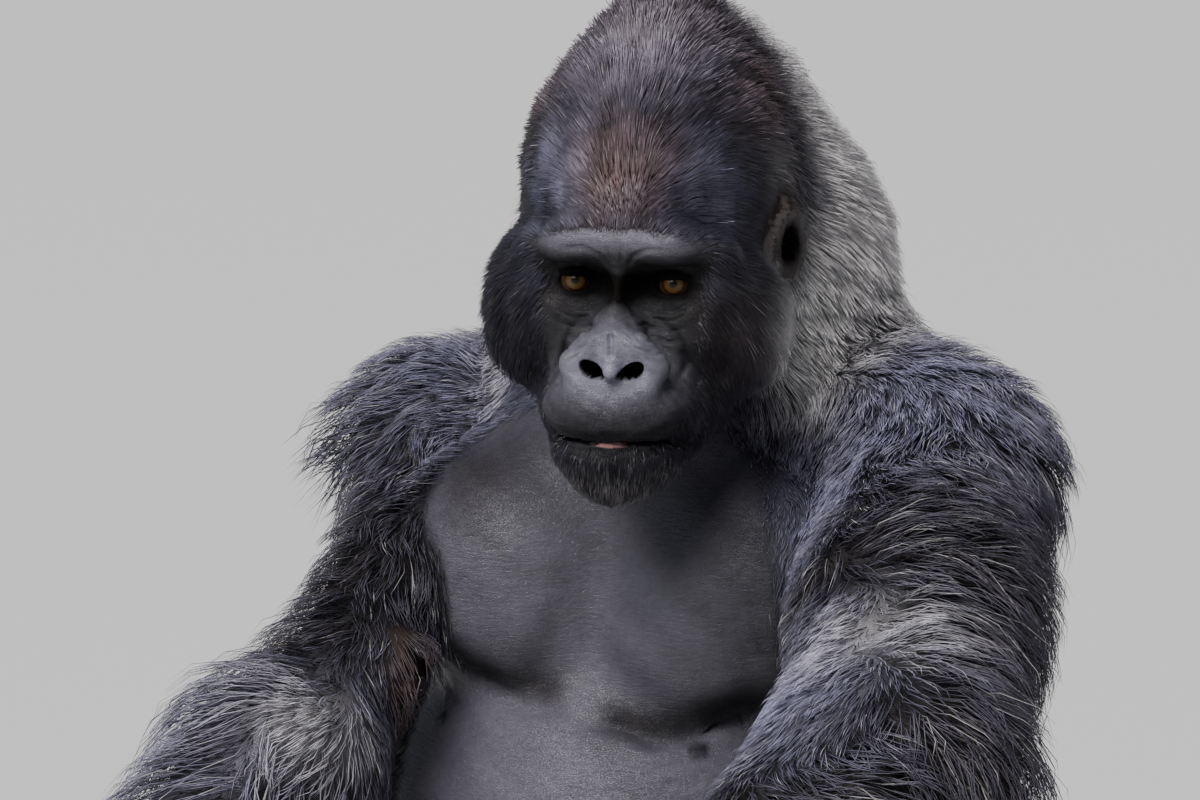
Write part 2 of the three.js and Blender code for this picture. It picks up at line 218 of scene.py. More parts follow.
def carve(k, body, *hollows):
    def form(p):
        d = body(p)
        for hollow in hollows:
            d = -soft_min(-d, hollow(p), k)
        return d

    return form


def posed(turn, place, form):
    place = np.array(place, float)
    return lambda p: form((p - place) @ turn)


def within(centre, radius, form):
    """The form, worked out only inside a sphere; far from it a rough distance will do."""
    centre = np.array(centre, float)

    def near_form(p):
        q = p - centre
        d = np.sqrt((q * q).sum(1)) - radius
        near = d < 0
        d += FAR_AWAY
        if near.any():
            d[near] = form(p[near])
        return d

    return near_form


def pair(make):
    return [make(1), make(-1)]


# %% [markdown]
# ## The head
# A gorilla's head has a high crown over the jaw muscles, a bar of bone over the eyes, a short
# bridge, a broad flat nose with large nostrils, and a deep muzzle. The eyes sit far back under
# the bar, each in a thin pair of lids. Each of these is a form of its own, blended tightly where
# a crease runs and widely where flesh is soft, because that is what makes a face readable.

# %% Head forms
cranium = blend(26, ball(0, 125, 60, 98, 112, 112), ball(0, 185, 104, 64, 100, 88))
forehead = blend(18, ball(0, 50, 72, 66, 50, 50), ball(0, 38, 78, 42, 44, 42))
skull = blend(26, cranium, forehead, ball(0, 60, -40, 84, 66, 72))
cheeks = blend(22, ball(80, 60, -42, 44, 48, 58), ball(-80, 60, -34, 45, 50, 68))
jaw = blend(24, ball(0, 46, -100, 76, 76, 52), ball(0, -2, -128, 42, 48, 30))
brow = blend(
    14,
    bar((-40, -5, 36), (40, -5, 36), 17),
    *pair(lambda s: bar((s * 40, -5, 37), (s * 72, 18, 25), 17, 16)),
)
mid_face = blend(
    16,
    bar((0, 4, 18), (0, -20, -24), 14, 15),
    bar((0, -20, -24), (0, -32, -46), 15, 17),
    *pair(lambda s: ball(s * 42, 18, -34, 34, 26, 30)),
    *pair(lambda s: ball(s * 66, 34, -12, 28, 34, 36)),
)
muzzle = blend(
    12,
    ball(0, -22, -88, 60, 51, 32),
    ball(0, -16, -125, 49, 47, 26),
    ball(0, -34, -146, 26, 24, 15),
)
lips = blend(
    6,
    ball(0, -30, -94, 50, 45, 17),
    ball(0, -28, -120, 44, 38, 16),
)
print("pupils", EYE_SPACING, "mm apart")

# %% Nose, sockets and lids
NOSE_X = 3
nose = blend(
    7,
    ball(NOSE_X, -32, -54, 36, 24, 27),
    *pair(lambda s: bar((NOSE_X + s * 5, -46, -37), (NOSE_X + s * 19, -46, -37), 9.5, 10.5)),
    *pair(lambda s: bar((NOSE_X + s * 19, -46, -37), (NOSE_X + s * 31.5, -43, -52), 10.5, 10.5)),
    ball(NOSE_X, -34, -34, 20, 20, 16),
    *pair(lambda s: bar((NOSE_X + s * 31.5, -44, -52), (NOSE_X + s * 25, -52, -69), 11.5, 10.5)),
    *pair(lambda s: bar((NOSE_X + s * 25, -52, -69), (NOSE_X + s * 8, -60, -74), 10.5, 7)),
    bar((NOSE_X, -49, -41), (NOSE_X, -60, -53), 8.5, 6.5),
)
sockets = pair(lambda s: ball(s * EYE_SPACING / 2, -17, 1, 24, 25, 12.5))
corners = pair(lambda s: ball(s * 19, -14, -2, 13, 15, 13))
lids = pair(lambda s: ball(s * EYE_SPACING / 2, EYE_RADIUS, 0, 15.5, 14.6, 15.2))
openings = pair(lambda s: ball(s * EYE_SPACING / 2, -1, -1.2, 15.4, 14, 5.2))
furred_head = blend(20, skull, cheeks, jaw)
bare_face = blend(12, blend(18, brow, mid_face, blend(8, muzzle, lips)))
bare_face = blend(7, bare_face, nose)
face_form = carve(12, blend(26, furred_head, bare_face), *sockets, *corners)
face_form = carve(2, blend(6, face_form, *lids), *openings)
print("nose stands", NOSE_X, "mm beside the middle")

# %% Ears


def rim(centre, ry, rz, thick):
    """The rolled rim of the ear: a ring that stands upright, facing sideways."""
    def form(p):
        x, y, z = (p - np.array(centre, float)).T
        k = np.sqrt((y / ry) ** 2 + (z / rz) ** 2)
        return np.hypot((k - 1) * min(ry, rz), x) - thick
    return form


EAR_PLACE = {1: (104, 114, 12), -1: (-90, 120, 8)}


def ear_turn(s):
    return turn_x(0.16) @ turn_z(-0.55 if s > 0 else 0.3)


def ear_form(s):
    plate = blend(6, ball(-2, 0, 0, 9, 18, 28), ball(1, -5, -22, 8, 10, 9))
    rolled = blend(4, plate, rim((4, 1, 1), 15, 24, 5.2))
    inner = bar((6, 5, -12), (6, 6, 12), 3.4)
    dished = blend(3, carve(3, rolled, ball(8, -3, -1, 7, 10, 18)), inner)
    return posed(ear_turn(s), EAR_PLACE[s], lambda p: dished(p * [s, 1, 1]))


head_place = on_head(0, 0, 0)
head_all = within(
    on_head(0, 80, 0), 330,
    posed(HEAD_TURN, head_place, blend(4, face_form, *pair(ear_form))),
)
print("ears at", EAR_PLACE)

# %% [markdown]
# ## Neck, trunk and limbs
# The trunk leans a little to its left. The breast is two slabs of muscle that hang over the
# belly in a fold, so they are blended more tightly than the rest. The upper arms reach forward
# over the raised knees, and the forearms hang in front of the shins. The joints are named
# points, and every form hangs from them, so that a limb can be moved by one number.

# %% Trunk forms
GIRDLE_X = 36
KNEE_RADIUS = 92
FLOOR_SINK = 12
LIMBS = {
    "left": dict(
        side=1, shoulder=(248, 5, 702), middle=(284, -170, 620), elbow=(322, -345, 538),
        wrist=(168, -590, 352), hip=(128, 20, 150), knee=(252, -300, 352),
        ankle=(228, -392, 74), cap=98, top=96, swell=100, bend=109, end=60,
        hand_turn=(8, -38), foot_turn=12,
    ),
    "right": dict(
        side=-1, shoulder=(-192, 24, 688), middle=(-166, -150, 610), elbow=(-198, -318, 500),
        wrist=(-286, -588, 352), hip=(-128, 20, 150), knee=(-268, -285, 350),
        ankle=(-246, -382, 74), cap=90, top=66, swell=52, bend=86, end=60,
        hand_turn=(10, -12), foot_turn=-16,
    ),
}


def moved(point, x, y, z):
    return (point[0] + x, point[1] + y, point[2] + z)


def between(a, b, share):
    return tuple(np.array(a, float) * (1 - share) + np.array(b, float) * share)


neck_form = blend(
    50,
    ball(GIRDLE_X, 0, 955, 104, 118, 108),
    ball(GIRDLE_X, 34, 880, 142, 132, 100),
    bar((GIRDLE_X, 40, 826), (GIRDLE_X, 56, 700), 150, 170),
    posed(HEAD_TURN, head_place, cranium),
)


def yoke(limb):
    """The shoulder blade and the muscles that run from it to the neck."""
    s, shoulder = limb["side"], limb["shoulder"]
    return blend(
        40,
        bar((GIRDLE_X, 96, 836), moved(shoulder, -s * 56, 50, -8), 84, 64),
        bar((GIRDLE_X + s * 60, 84, 740), moved(shoulder, -s * 30, 30, 0), 94, 80),
        ball(*moved(shoulder, -s * 24, 52, -24), 88, 96, 90),
        ball(GIRDLE_X * 0.6 + s * 150, 80, 600, 92, 120, 150),
    )


breasts = blend(26, *pair(lambda s: ball(GIRDLE_X * 0.4 + s * 98, -78, 622, 104, 92, 96)))
trunk_form = blend(
    60,
    ball(16, 46, 590, 208, 170, 200),
    ball(GIRDLE_X * 0.7, 116, 600, 206, 142, 220),
    yoke(LIMBS["left"]),
    yoke(LIMBS["right"]),
    ball(-4, -34, 350, 230, 214, 226),
    ball(4, 104, 360, 214, 140, 250),
    ball(0, 76, 150, 232, 176, 150 + FLOOR_SINK),
)
hanging = blend(20, ball(-70, -98, 592, 64, 68, 56), ball(88, -100, 578, 80, 70, 62))
nipples = blend(1, ball(-124, -147, 508, 6, 6, 5), ball(100, -161, 505, 6, 6, 5))
chested = blend(5, blend(22, blend(34, trunk_form, breasts), hanging), nipples)
torso = within((10, 40, 480), 640, blend(44, chested, neck_form))
print("the rump reaches", FLOOR_SINK, "mm below the floor and is cut flat there")

# %% Limb forms
SHOULDER_CREST = ball(210, 14, 734, 72, 84, 74)
ELBOW_SKIN = ball(-112, -208, 550, 12, 30, 36)
SHOULDER_TUFT = bar((-226, -18, 690), (-258, -15, 697), 40, 30)


def arm_form(limb):
    shoulder, middle, elbow = limb["shoulder"], limb["middle"], limb["elbow"]
    wrist, bend = limb["wrist"], limb["bend"]
    belly = between(elbow, wrist, 0.3)
    return within(between(shoulder, wrist, 0.5), 520, blend(
        30,
        ball(*shoulder, limb["cap"]),
        bar(between(shoulder, middle, 0.2), middle, limb["top"], limb["swell"]),
        bar(middle, elbow, limb["swell"], bend - 8),
        SHOULDER_CREST if limb["side"] > 0 else blend(4, SHOULDER_TUFT, ELBOW_SKIN),
        ball(*elbow, bend),
        bar(elbow, belly, bend - 4, bend - 12),
        bar(belly, wrist, bend - 14, limb["end"]),
    ))


def leg_form(limb):
    s, hip, knee, ankle = limb["side"], limb["hip"], limb["knee"], limb["ankle"]
    calf = moved(between(knee, ankle, 0.35), 0, 22, 0)
    return within(between(hip, ankle, 0.5), 440, blend(
        36,
        bar(hip, knee, 118, 90),
        ball(*moved(hip, s * 24, 40, -24), 116, 122, 116),
        ball(*knee, KNEE_RADIUS),
        bar(knee, ankle, 84, 58),
        bar(calf, ankle, 82, 56),
    ))


for name, limb in LIMBS.items():
    upper = np.linalg.norm(np.subtract(limb["elbow"], limb["shoulder"]))
    print(name, "upper arm", round(float(upper)), "mm")

# %% [markdown]
# ## Hands and feet
# The hand hangs from the wrist with the fingers a little curled. The foot stands flat, with
# the great toe set apart like a thumb. Each digit is a row of tapered bars, one for each bone,
# with a small swelling at the joint. A digit could be one long spindle, but then it would bend
# like a hose and not at its joints.

# %% Hand and foot forms
PALM_LENGTH = 125
FINGER_LENGTH = 112
FINGER_PITCH = 28
TOE_PITCH = 21
FOOT_LENGTH = 285


def digit_form(points, radii):
    bones = [
        bar(points[i], points[i + 1], radii[i], radii[i + 1])
        for i in range(len(points) - 1)
    ]
    knuckles = [ball(*points[i], radii[i] * 1.08) for i in range(1, len(points) - 1)]
    return blend(5, *bones, *knuckles)


def finger_bones(limb, i):
    share = (0.9, 1, 0.98, 0.82)[i]
    x = (1.5 - i) * FINGER_PITCH * limb["side"]
    reach = FINGER_LENGTH * share
    return [
        (x, 2, -PALM_LENGTH + 18),
        (x * 1.05, -2, -PALM_LENGTH - reach * 0.3),
        (x * 1.02, 12, -PALM_LENGTH - reach * 0.66),
        (x * 0.98, 34, -PALM_LENGTH - reach * 0.92),
    ]


def thumb_bones(limb):
    s = limb["side"]
    return [(-s * 28, 6, -30), (-s * 54, 16, -60), (-s * 60, 26, -96)]


def hand_turn(limb):
    spread, lean = (math.radians(v) for v in limb["hand_turn"])
    return turn_z(lean) @ turn_x(spread)


def hand_form(limb):
    palm = blend(
        16,
        ball(0, 0, -18, 50, 38, 42),
        *pair(lambda s: bar((s * 24, -2, -30), (s * 38, 0, -PALM_LENGTH + 14), 29, 22)),
    )
    fingers = [digit_form(finger_bones(limb, i), (15, 13.8, 13, 11)) for i in range(4)]
    thumb = digit_form(thumb_bones(limb), (18, 13.5, 10))
    whole = blend(7, palm, blend(2, *fingers), thumb)
    centre = posed_point(hand_turn(limb), limb["wrist"], (0, 0, -110))
    return within(centre, 220, posed(hand_turn(limb), limb["wrist"], whole))


def posed_point(turn, place, point):
    return turn @ np.array(point, float) + np.array(place, float)


HEEL_Y = 66
BALL_Y = HEEL_Y - FOOT_LENGTH * 0.66


def toe_bones(limb, i):
    share = (1, 1, 0.94, 0.82)[i]
    x = limb["side"] * (-18 + i * TOE_PITCH)
    tip = BALL_Y - FOOT_LENGTH * 0.3 * share
    return [(x * 0.9, BALL_Y + 22, 18), (x, BALL_Y - 30, 20), (x * 1.05, tip + 8, 12)]


def great_toe_bones(limb):
    s = limb["side"]
    return [(-s * 20, -22, 24), (-s * 52, -84, 22), (-s * 64, -134, 14)]


def foot_place(limb):
    return (limb["ankle"][0], limb["ankle"][1], 0)


def foot_turn(limb):
    return turn_z(math.radians(limb["foot_turn"]))


def foot_form(limb):
    s = limb["side"]
    sole = blend(
        24,
        ball(0, HEEL_Y - 40, 36, 44, 46, 44),
        ball(0, 0, 58, 54, 56, 50),
        bar((0, HEEL_Y - 60, 28), (s * 8, BALL_Y, 18), 43, 39),
        bar((s * 14, HEEL_Y - 70, 26), (s * 28, BALL_Y + 10, 15), 33, 30),
    )
    toes = [digit_form(toe_bones(limb, i), (14.5, 12.5, 11)) for i in range(4)]
    great = digit_form(great_toe_bones(limb), (24, 18, 13.5))
    whole = blend(7, sole, blend(2.5, *toes), great)
    centre = posed_point(foot_turn(limb), foot_place(limb), (0, -60, 30))
    return within(centre, 260, posed(foot_turn(limb), foot_place(limb), whole))


PARTS = {"head": head_all, "torso": torso}
for name, limb in LIMBS.items():
    PARTS["arm_" + name] = arm_form(limb)
    PARTS["leg_" + name] = leg_form(limb)
    PARTS["hand_" + name] = hand_form(limb)
    PARTS["foot_" + name] = foot_form(limb)
print("forms:", ", ".join(PARTS))

# %% [markdown]
# ## Where the coat grows
# Face, breast, palms, soles and ears are bare, and the coat thins out towards them. Bareness
# could be painted as a vertex group, but a function of the place can be asked anywhere, before
# there is any mesh. Its edge is made uneven by a ripple, as a hairline is.

# %% Bare skin


def smooth(low, high, value):
    t = np.clip((value - low) / (high - low), 0, 1)
    return t * t * (3 - 2 * t)


def patch(points, centre, radii):
    q = (points - np.array(centre, float)) / np.array(radii, float)
    return np.exp(-(q * q).sum(1))


def ripple(points, size, seed):
    """A smooth random field between -1 and 1, with bumps about one size apart."""
    rng = np.random.default_rng(seed)
    total = np.zeros(len(points))
    for _ in range(5):
        way = rng.normal(size=3)
        way *= rng.uniform(0.7, 1.4) * 2 * math.pi / size / np.linalg.norm(way)
        total += np.sin(points @ way + rng.uniform(0, 2 * math.pi))
    return np.clip(total / 2.6, -1, 1)


def face_bareness(points, edge=0.28):
    q = to_head(points)
    across = np.abs(q[:, 0]) / 63
    along = (q[:, 2] + 36) / 83
    inside = 1 - (across ** 4 + np.abs(along) ** 4)
    band = 1 - ((np.abs(q[:, 0]) / 76) ** 2.4 + np.abs((q[:, 2] - 24) / 24) ** 2.4)
    inside = np.maximum(inside, band)
    front = 1 - smooth(30, 50 + 20 * edge, q[:, 1])
    inside += 0.10 * ripple(points, 13, 21)
    return smooth(-edge * 0.6, edge * 1.4, inside) * front


def chest_bareness(points, edge=0.12):
    x, y, z = points.T
    across = np.abs(x - 8) / 158
    along = (z - 545) / 215
    inside = 1 - (np.abs(across) ** 3 + np.abs(along) ** 3)
    front = 1 - smooth(-70, -10, y)
    arms = np.minimum(PARTS["arm_left"](points), PARTS["arm_right"](points))
    arms = np.minimum(arms, PARTS["head"](points))
    on_trunk = smooth(-4 - 20 * edge, 8 + 10 * edge, arms)
    return smooth(-edge, min(edge, 0.12), inside) * front * on_trunk


def ear_bareness(points):
    q = to_head(points)
    best = np.zeros(len(points))
    for s in (1, -1):
        away = np.linalg.norm((q - EAR_PLACE[s] - [s * 3, -1, -3]) / [20, 27, 35], axis=1)
        best = np.maximum(best, 1 - smooth(0.9, 1.05, away))
    return best


def palm_bareness(points):
    """The palm side of each hand, the fingers past the first joint, and the toes and soles."""
    best = np.zeros(len(points))
    for limb in LIMBS.values():
        q = (points - np.array(limb["wrist"])) @ hand_turn(limb)
        near = (np.abs(q[:, 0]) < 90) & (np.abs(q[:, 1]) < 70) & (q[:, 2] > -270) & (q[:, 2] < 0)
        down = 1 - smooth(-150, -118, q[:, 2])
        back = smooth(4, 16, q[:, 1]) * (1 - smooth(-40, -16, q[:, 2]))
        best = np.maximum(best, near * np.maximum(down, back))
        q = (points - np.array(foot_place(limb))) @ foot_turn(limb)
        near = (np.abs(q[:, 0]) < 110) & (q[:, 1] < 100) & (q[:, 1] > -240) & (q[:, 2] < 110)
        toes = 1 - smooth(BALL_Y - 26, BALL_Y + 4, q[:, 1])
        low = 1 - smooth(10, 24, q[:, 2])
        inner = smooth(34, 48, -limb["side"] * q[:, 0]) * (q[:, 1] < -50)
        best = np.maximum(best, near * np.maximum(np.maximum(toes, low), inner))
    return best


def bareness(points):
    sides = [f(points) for f in (face_bareness, chest_bareness, ear_bareness, palm_bareness)]
    return np.maximum.reduce(sides)


def soft_bareness(points):
    """The same with wide edges, so that the skin rises gently from under the coat."""
    sides = [face_bareness(points, 0.9), chest_bareness(points, 0.6)]
    return np.maximum.reduce(sides + [ear_bareness(points), palm_bareness(points)])


print("bare at the nose tip:", float(bareness(on_head(NOSE_X, -60, -60)[None])[0]))

# %% [markdown]
# ## Combing
# On the real animal the hair runs back over the crown, down the cheeks, and in whorls round the
# elbows. The coat is described as a groomer would: by comb strokes. A stroke says how the hair
# lies at one place, how long it is and how far its tips stand off the skin, and between strokes
# everything is mixed by nearness. Particle hair is combed with a brush in a window. Strokes do
# the same from a script, and every one of them can be read and changed.

# %% The comb
STROKES = []


def comb(place, towards, length, rise, reach=80):
    """One stroke in the animal's frame: millimetres, and a direction for the hair to lie in."""
    lie = np.array(towards, float)
    STROKES.append((np.array(place, float), lie / np.linalg.norm(lie), length, rise, reach))


def comb_head(x, y, z, towards, length, rise, reach=45):
    """The same stroke on both sides of the head, in the head's frame."""
    for s in ((1, -1) if x else (1,)):
        lie = HEAD_TURN @ (np.array(towards, float) * [s, 1, 1])
        comb(on_head(s * x, y, z), lie, length, rise, reach)


# %% Comb the head
comb_head(0, 2, 62, (0, 0.5, 0.9), 9, 4)
comb_head(34, 0, 58, (0.7, 0.4, 0.5), 10, 4)
comb_head(0, 10, 96, (0, 0.6, 0.8), 16, 8)
comb_head(40, 30, 100, (0.5, 0.7, 0.5), 16, 7)
comb_head(66, 30, 60, (0.8, 0.7, -0.1), 16, 6)
comb_head(0, 80, 160, (0, 0.95, 0.3), 20, 11, 60)
comb_head(55, 90, 140, (0.4, 0.9, 0.05), 20, 10, 60)
comb_head(90, 80, 80, (0.3, 0.8, -0.5), 18, 7, 60)
comb_head(84, 34, 16, (0.6, 0.5, -0.8), 13, 5)
comb_head(96, 84, 24, (0.3, 0.8, -0.5), 10, 3)
comb_head(104, 98, -34, (0.3, 0.6, -0.8), 17, 7, 30)
comb_head(100, 40, -20, (0.25, 0.35, -1), 17, 7)
comb_head(108, 80, -10, (0.2, 0.7, -0.7), 16, 7)
comb_head(96, 50, -70, (0, 0.25, -1), 18, 7)
comb_head(70, 20, -60, (0.3, 0.3, -1), 12, 3, 35)
comb_head(66, 10, -110, (0.1, 0.2, -1), 12, 4, 35)
comb_head(34, -40, -150, (0.1, -0.4, -0.9), 11, 4, 30)
comb_head(0, -54, -156, (0, -0.5, -0.9), 12, 5, 30)
comb_head(0, 20, -160, (0, 0.1, -1), 20, 8, 50)
comb_head(60, 70, -140, (0.1, 0.3, -1), 20, 9, 50)
comb_head(0, 180, 180, (0, 1, -0.1), 24, 12, 70)
comb_head(80, 180, 120, (0.3, 0.8, -0.5), 24, 10, 70)
comb_head(110, 170, 30, (0.15, 0.6, -0.8), 24, 10, 70)
comb_head(118, 130, -60, (0.15, 0.5, -0.9), 26, 11, 60)
comb_head(0, 270, 110, (0, 0.6, -0.8), 30, 13, 90)
print("strokes on the head:", len(STROKES))

# %% Comb the neck, the shoulders and the arms
comb((170, 20, 850), (0.2, 0.4, -1), 22, 10)
comb((176, 60, 920), (0.2, 0.6, -0.9), 20, 9)
comb((-100, 20, 850), (-0.2, 0.4, -1), 22, 10)
comb((36, 190, 860), (0, 0.3, -1), 34, 14, 120)
comb((36, 220, 740), (0, 0.2, -1), 32, 13, 120)
comb((200, 30, 800), (0.8, -0.1, -0.5), 36, 14)
comb((-120, 20, 800), (-0.9, -0.2, -0.3), 36, 14)

# The animal's left shoulder and upper arm.
comb((281, -15, 784), (0.6, -0.5, -0.6), 40, 16)
comb((240, -70, 770), (0.1, -0.7, -0.6), 34, 10, 60)
comb((187, -126, 704), (0.05, -0.6, -0.85), 26, 8, 55)
comb((175, -60, 740), (0, -0.5, -0.9), 28, 9, 60)
comb((248, -140, 738), (0.7, -0.3, -0.5), 40, 14, 45)
comb((300, -190, 710), (0.95, 0.2, -0.2), 50, 20, 60)
comb((340, -46, 715), (0.3, -0.2, -1), 50, 24)
comb((356, -122, 669), (0.35, -0.15, -1), 55, 26)
comb((368, -268, 641), (0.35, 0.1, -1), 60, 28, 70)
comb((330, 60, 650), (0.2, 0.3, -1), 50, 22)
comb((300, -300, 655), (0.9, 0.35, 0), 46, 18, 40)
comb((270, -300, 660), (-0.5, -0.5, -0.5), 26, 8, 40)
comb((289, -407, 621), (-0.2, -0.55, -0.8), 22, 6, 55)
comb((370, -409, 606), (0.6, -0.1, -0.8), 60, 26, 60)
comb((313, -458, 579), (0.85, 0.1, 0.15), 55, 18, 50)
comb((419, -379, 565), (0.2, -0.1, -1), 65, 30, 70)
comb((230, -300, 560), (-0.1, -0.4, -0.9), 26, 9, 70)
comb((400, -300, 500), (0.2, 0.2, -1), 70, 30, 80)

# The animal's right shoulder and upper arm.
comb((-181, -11, 778), (-0.92, -0.4, -0.29), 38, 12, 70)
comb((-228, -21, 765), (-0.71, -0.39, -0.59), 44, 16, 70)
comb((-60, -70, 760), (-0.9, -0.35, -0.3), 22, 6, 60)
comb((-262, -20, 705), (-1, -0.1, 0.3), 112, 44, 36)
comb((-236, -40, 690), (-0.9, -0.2, -0.2), 70, 26, 30)
comb((-176, -88, 708), (-0.12, -0.26, -0.98), 40, 12, 60)
comb((-142, -176, 641), (-0.05, -0.3, -0.95), 42, 13, 60)
comb((-190, -203, 643), (-0.45, -0.35, -0.85), 46, 20, 60)
comb((-250, -60, 640), (-0.4, -0.1, -1), 55, 24, 80)
comb((-250, -200, 560), (-0.5, -0.1, -1), 60, 26, 80)
comb((-147, -352, 560), (-0.6, -0.4, -0.5), 30, 10, 40)
comb((-199, -345, 579), (-0.81, -0.4, -0.49), 66, 24, 60)
comb((-235, -399, 542), (-0.75, -0.3, -0.59), 72, 28, 70)
comb((-155, -394, 524), (-0.4, -0.5, -0.83), 62, 22, 60)
comb((-114, -292, 510), (0, -0.2, -1), 44, 6, 60)
comb((-114, -232, 560), (0.1, -0.2, -1), 44, 5, 50)
comb((-290, -360, 460), (-0.5, 0.1, -1), 76, 32, 80)

# Forearms, down to the wrists.
comb((250, -540, 480), (0.5, -0.3, -0.8), 55, 20, 80)
comb((168, -640, 390), (0, -0.3, -1), 34, 10, 70)
comb((230, -590, 360), (0.5, 0.1, -0.9), 50, 22, 70)
comb((-250, -560, 450), (-0.4, -0.4, -0.8), 55, 20, 80)
comb((-286, -640, 380), (0, -0.3, -1), 34, 10, 70)
comb((-330, -560, 380), (-0.6, 0.1, -0.9), 50, 22, 70)
for limb in LIMBS.values():
    knuckles = posed_point(hand_turn(limb), limb["wrist"], (0, -30, -110))
    comb(knuckles, (0, -0.1, -1), 16, 4, 60)
print("strokes down to the hands:", len(STROKES))

# %% Comb the trunk and the legs
comb((26, 240, 620), (0, 0.1, -1), 30, 12, 130)
comb((180, 190, 640), (0.4, 0.2, -1), 34, 13, 110)
comb((-150, 190, 640), (-0.4, 0.2, -1), 34, 13, 110)
comb((6, 240, 400), (0, 0, -1), 30, 12, 140)
comb((220, 80, 520), (0.2, 0.2, -1), 36, 14, 110)
comb((-200, 80, 520), (-0.2, 0.2, -1), 36, 14, 110)
comb((0, 260, 180), (0, 0.1, -1), 32, 12, 130)
comb((235, 100, 250), (0.3, 0.3, -1), 38, 15, 110)
comb((-235, 100, 250), (-0.3, 0.3, -1), 38, 15, 110)
comb((0, -230, 340), (0, -0.1, -1), 22, 4, 120)
comb((170, -120, 520), (0.4, -0.2, -0.9), 28, 8, 50)
comb((-150, -120, 560), (-0.2, -0.2, -1), 40, 4, 60)
comb((-165, -110, 450), (-0.2, -0.2, -1), 38, 4, 80)
comb((150, -70, 620), (0.2, -0.3, -1), 20, 5, 60)

for limb in LIMBS.values():
    s = limb["side"]
    thigh = between(limb["hip"], limb["knee"], 0.5)
    comb(moved(limb["knee"], s * 60, 30, 40), (s * 0.4, -0.3, -0.8), 44, 16, 90)
    comb(moved(limb["knee"], -s * 70, 60, 0), (-s * 0.1, -0.2, -1), 30, 9, 90)
    comb(moved(thigh, s * 90, 0, 0), (s * 0.3, -0.5, -0.8), 44, 16, 110)
    comb(moved(limb["ankle"], s * 40, 0, 120), (s * 0.2, 0, -1), 38, 14, 90)
    comb(moved(limb["ankle"], -s * 40, 0, 120), (-s * 0.2, 0, -1), 30, 10, 90)
    comb(moved(limb["ankle"], 0, -60, 10), (0, -1, -0.3), 14, 3, 70)
    comb(moved(limb["ankle"], 0, 60, 0), (0, 0.4, -1), 24, 8, 60)
print("comb strokes:", len(STROKES))

# %% Mix the strokes


def groom(points):
    """The lie, length and rise of the coat at some points, mixed from the strokes by nearness."""
    lie = np.zeros((len(points), 3))
    sizes = np.zeros((len(points), 2))
    total = np.full(len(points), 1e-12)
    for place, way, length, rise, reach in STROKES:
        q = points - place
        near = 1 / (1e-3 + (q * q).sum(1) / float(reach) ** 2) ** 3
        lie += near[:, None] * way
        sizes += near[:, None] * np.array([length, rise], float)
        total += near
    return lie / total[:, None], sizes[:, 0] / total, sizes[:, 1] / total


between_shoulders = np.array([[26.0, 240, 700]])
print("hair between the shoulders:", round(float(groom(between_shoulders)[1][0])), "mm")

# %% [markdown]
# ## Furrows
# Folds are paths drawn on the face or the breast, seen from the front. The skin dips along a
# path and swells a little beside it. Round the eyes they fan out from the inner corners. They
# could be bump in the material, but a real dip changes the outline, casts a shadow and stays
# in the mesh when the model is exported.

# %% Folds of the face and the breast
FACE_FOLDS = [
    (((13, -12), (26, -18), (40, -18.5), (54, -12)), 1.2, 1.5),
    (((12, -15), (24, -23), (38, -25), (54, -19)), 1.0, 1.4),
    (((11, -18), (22, -29), (36, -33), (54, -28)), 1.1, 1.6),
    (((11, -21), (20, -34), (33, -41), (50, -39)), 0.9, 1.6),
    (((17, -31), (27, -43), (38, -50)), 0.8, 1.8),
    (((23, 9), (31, 12), (42, 12), (54, 6)), 1.4, 1.5),
    (((20, 4), (27, 15), (42, 18), (60, 12)), 1.0, 2.0),
    (((7, 17), (13, 28), (25, 34), (42, 34)), 1.5, 2.4),
    (((3, 20), (5, 30), (5, 40)), 0.9, 2.0),
    (((52, 2), (62, -2), (68, -12)), 0.9, 1.6),
    (((52, -6), (60, -13), (64, -24)), 0.8, 1.6),
    (((54, -10), (60, -20), (61, -33)), 0.7, 1.6),
    (((0, -16), (9, -14), (15, -20)), 0.8, 1.3),
    (((0, -20), (10, -18), (17, -25)), 0.8, 1.3),
    (((0, -7), (8, -7), (13, -10)), 0.7, 1.3),
    (((42, -40), (48, -56), (56, -72), (62, -90)), 1.6, 3.4),
    (((0, -24), (0, -34), (0, -44)), 3.0, 2.6),
    (((5, -80), (7, -88), (9, -96)), 0.7, 1.5),
    (((24, -22), (38, -31), (46, -45), (47, -60), (41, -75)), 1.8, 3.0),
    (((6, -115), (24, -116), (44, -114)), 0.8, 2.0),
]
BREAST_FOLDS = [
    (((-116, 590), (-114, 566), (-95, 547), (-63, 534), (-32, 530), (4, 526)), 4.5, 4.0),
    (((4, 526), (20, 519), (42, 512), (66, 508), (92, 514), (132, 534), (158, 552)), 5.5, 4.5),
    (((5, 650), (-12, 610), (-30, 566), (-30, 532)), 2.2, 15),
    (((-24, 512), (20, 498), (70, 492), (124, 500)), 1.8, 2.6),
    (((-6, 498), (36, 484), (84, 480), (134, 488)), 1.8, 2.6),
    (((0, 484), (44, 470), (92, 466), (136, 474)), 1.8, 2.6),
    (((-40, 474), (12, 460), (66, 452), (130, 458)), 1.6, 3),
    (((-80, 450), (0, 438), (90, 438)), 1.5, 3.4),
    (((-130, 535), (-118, 520), (-96, 512)), 2, 4),
]
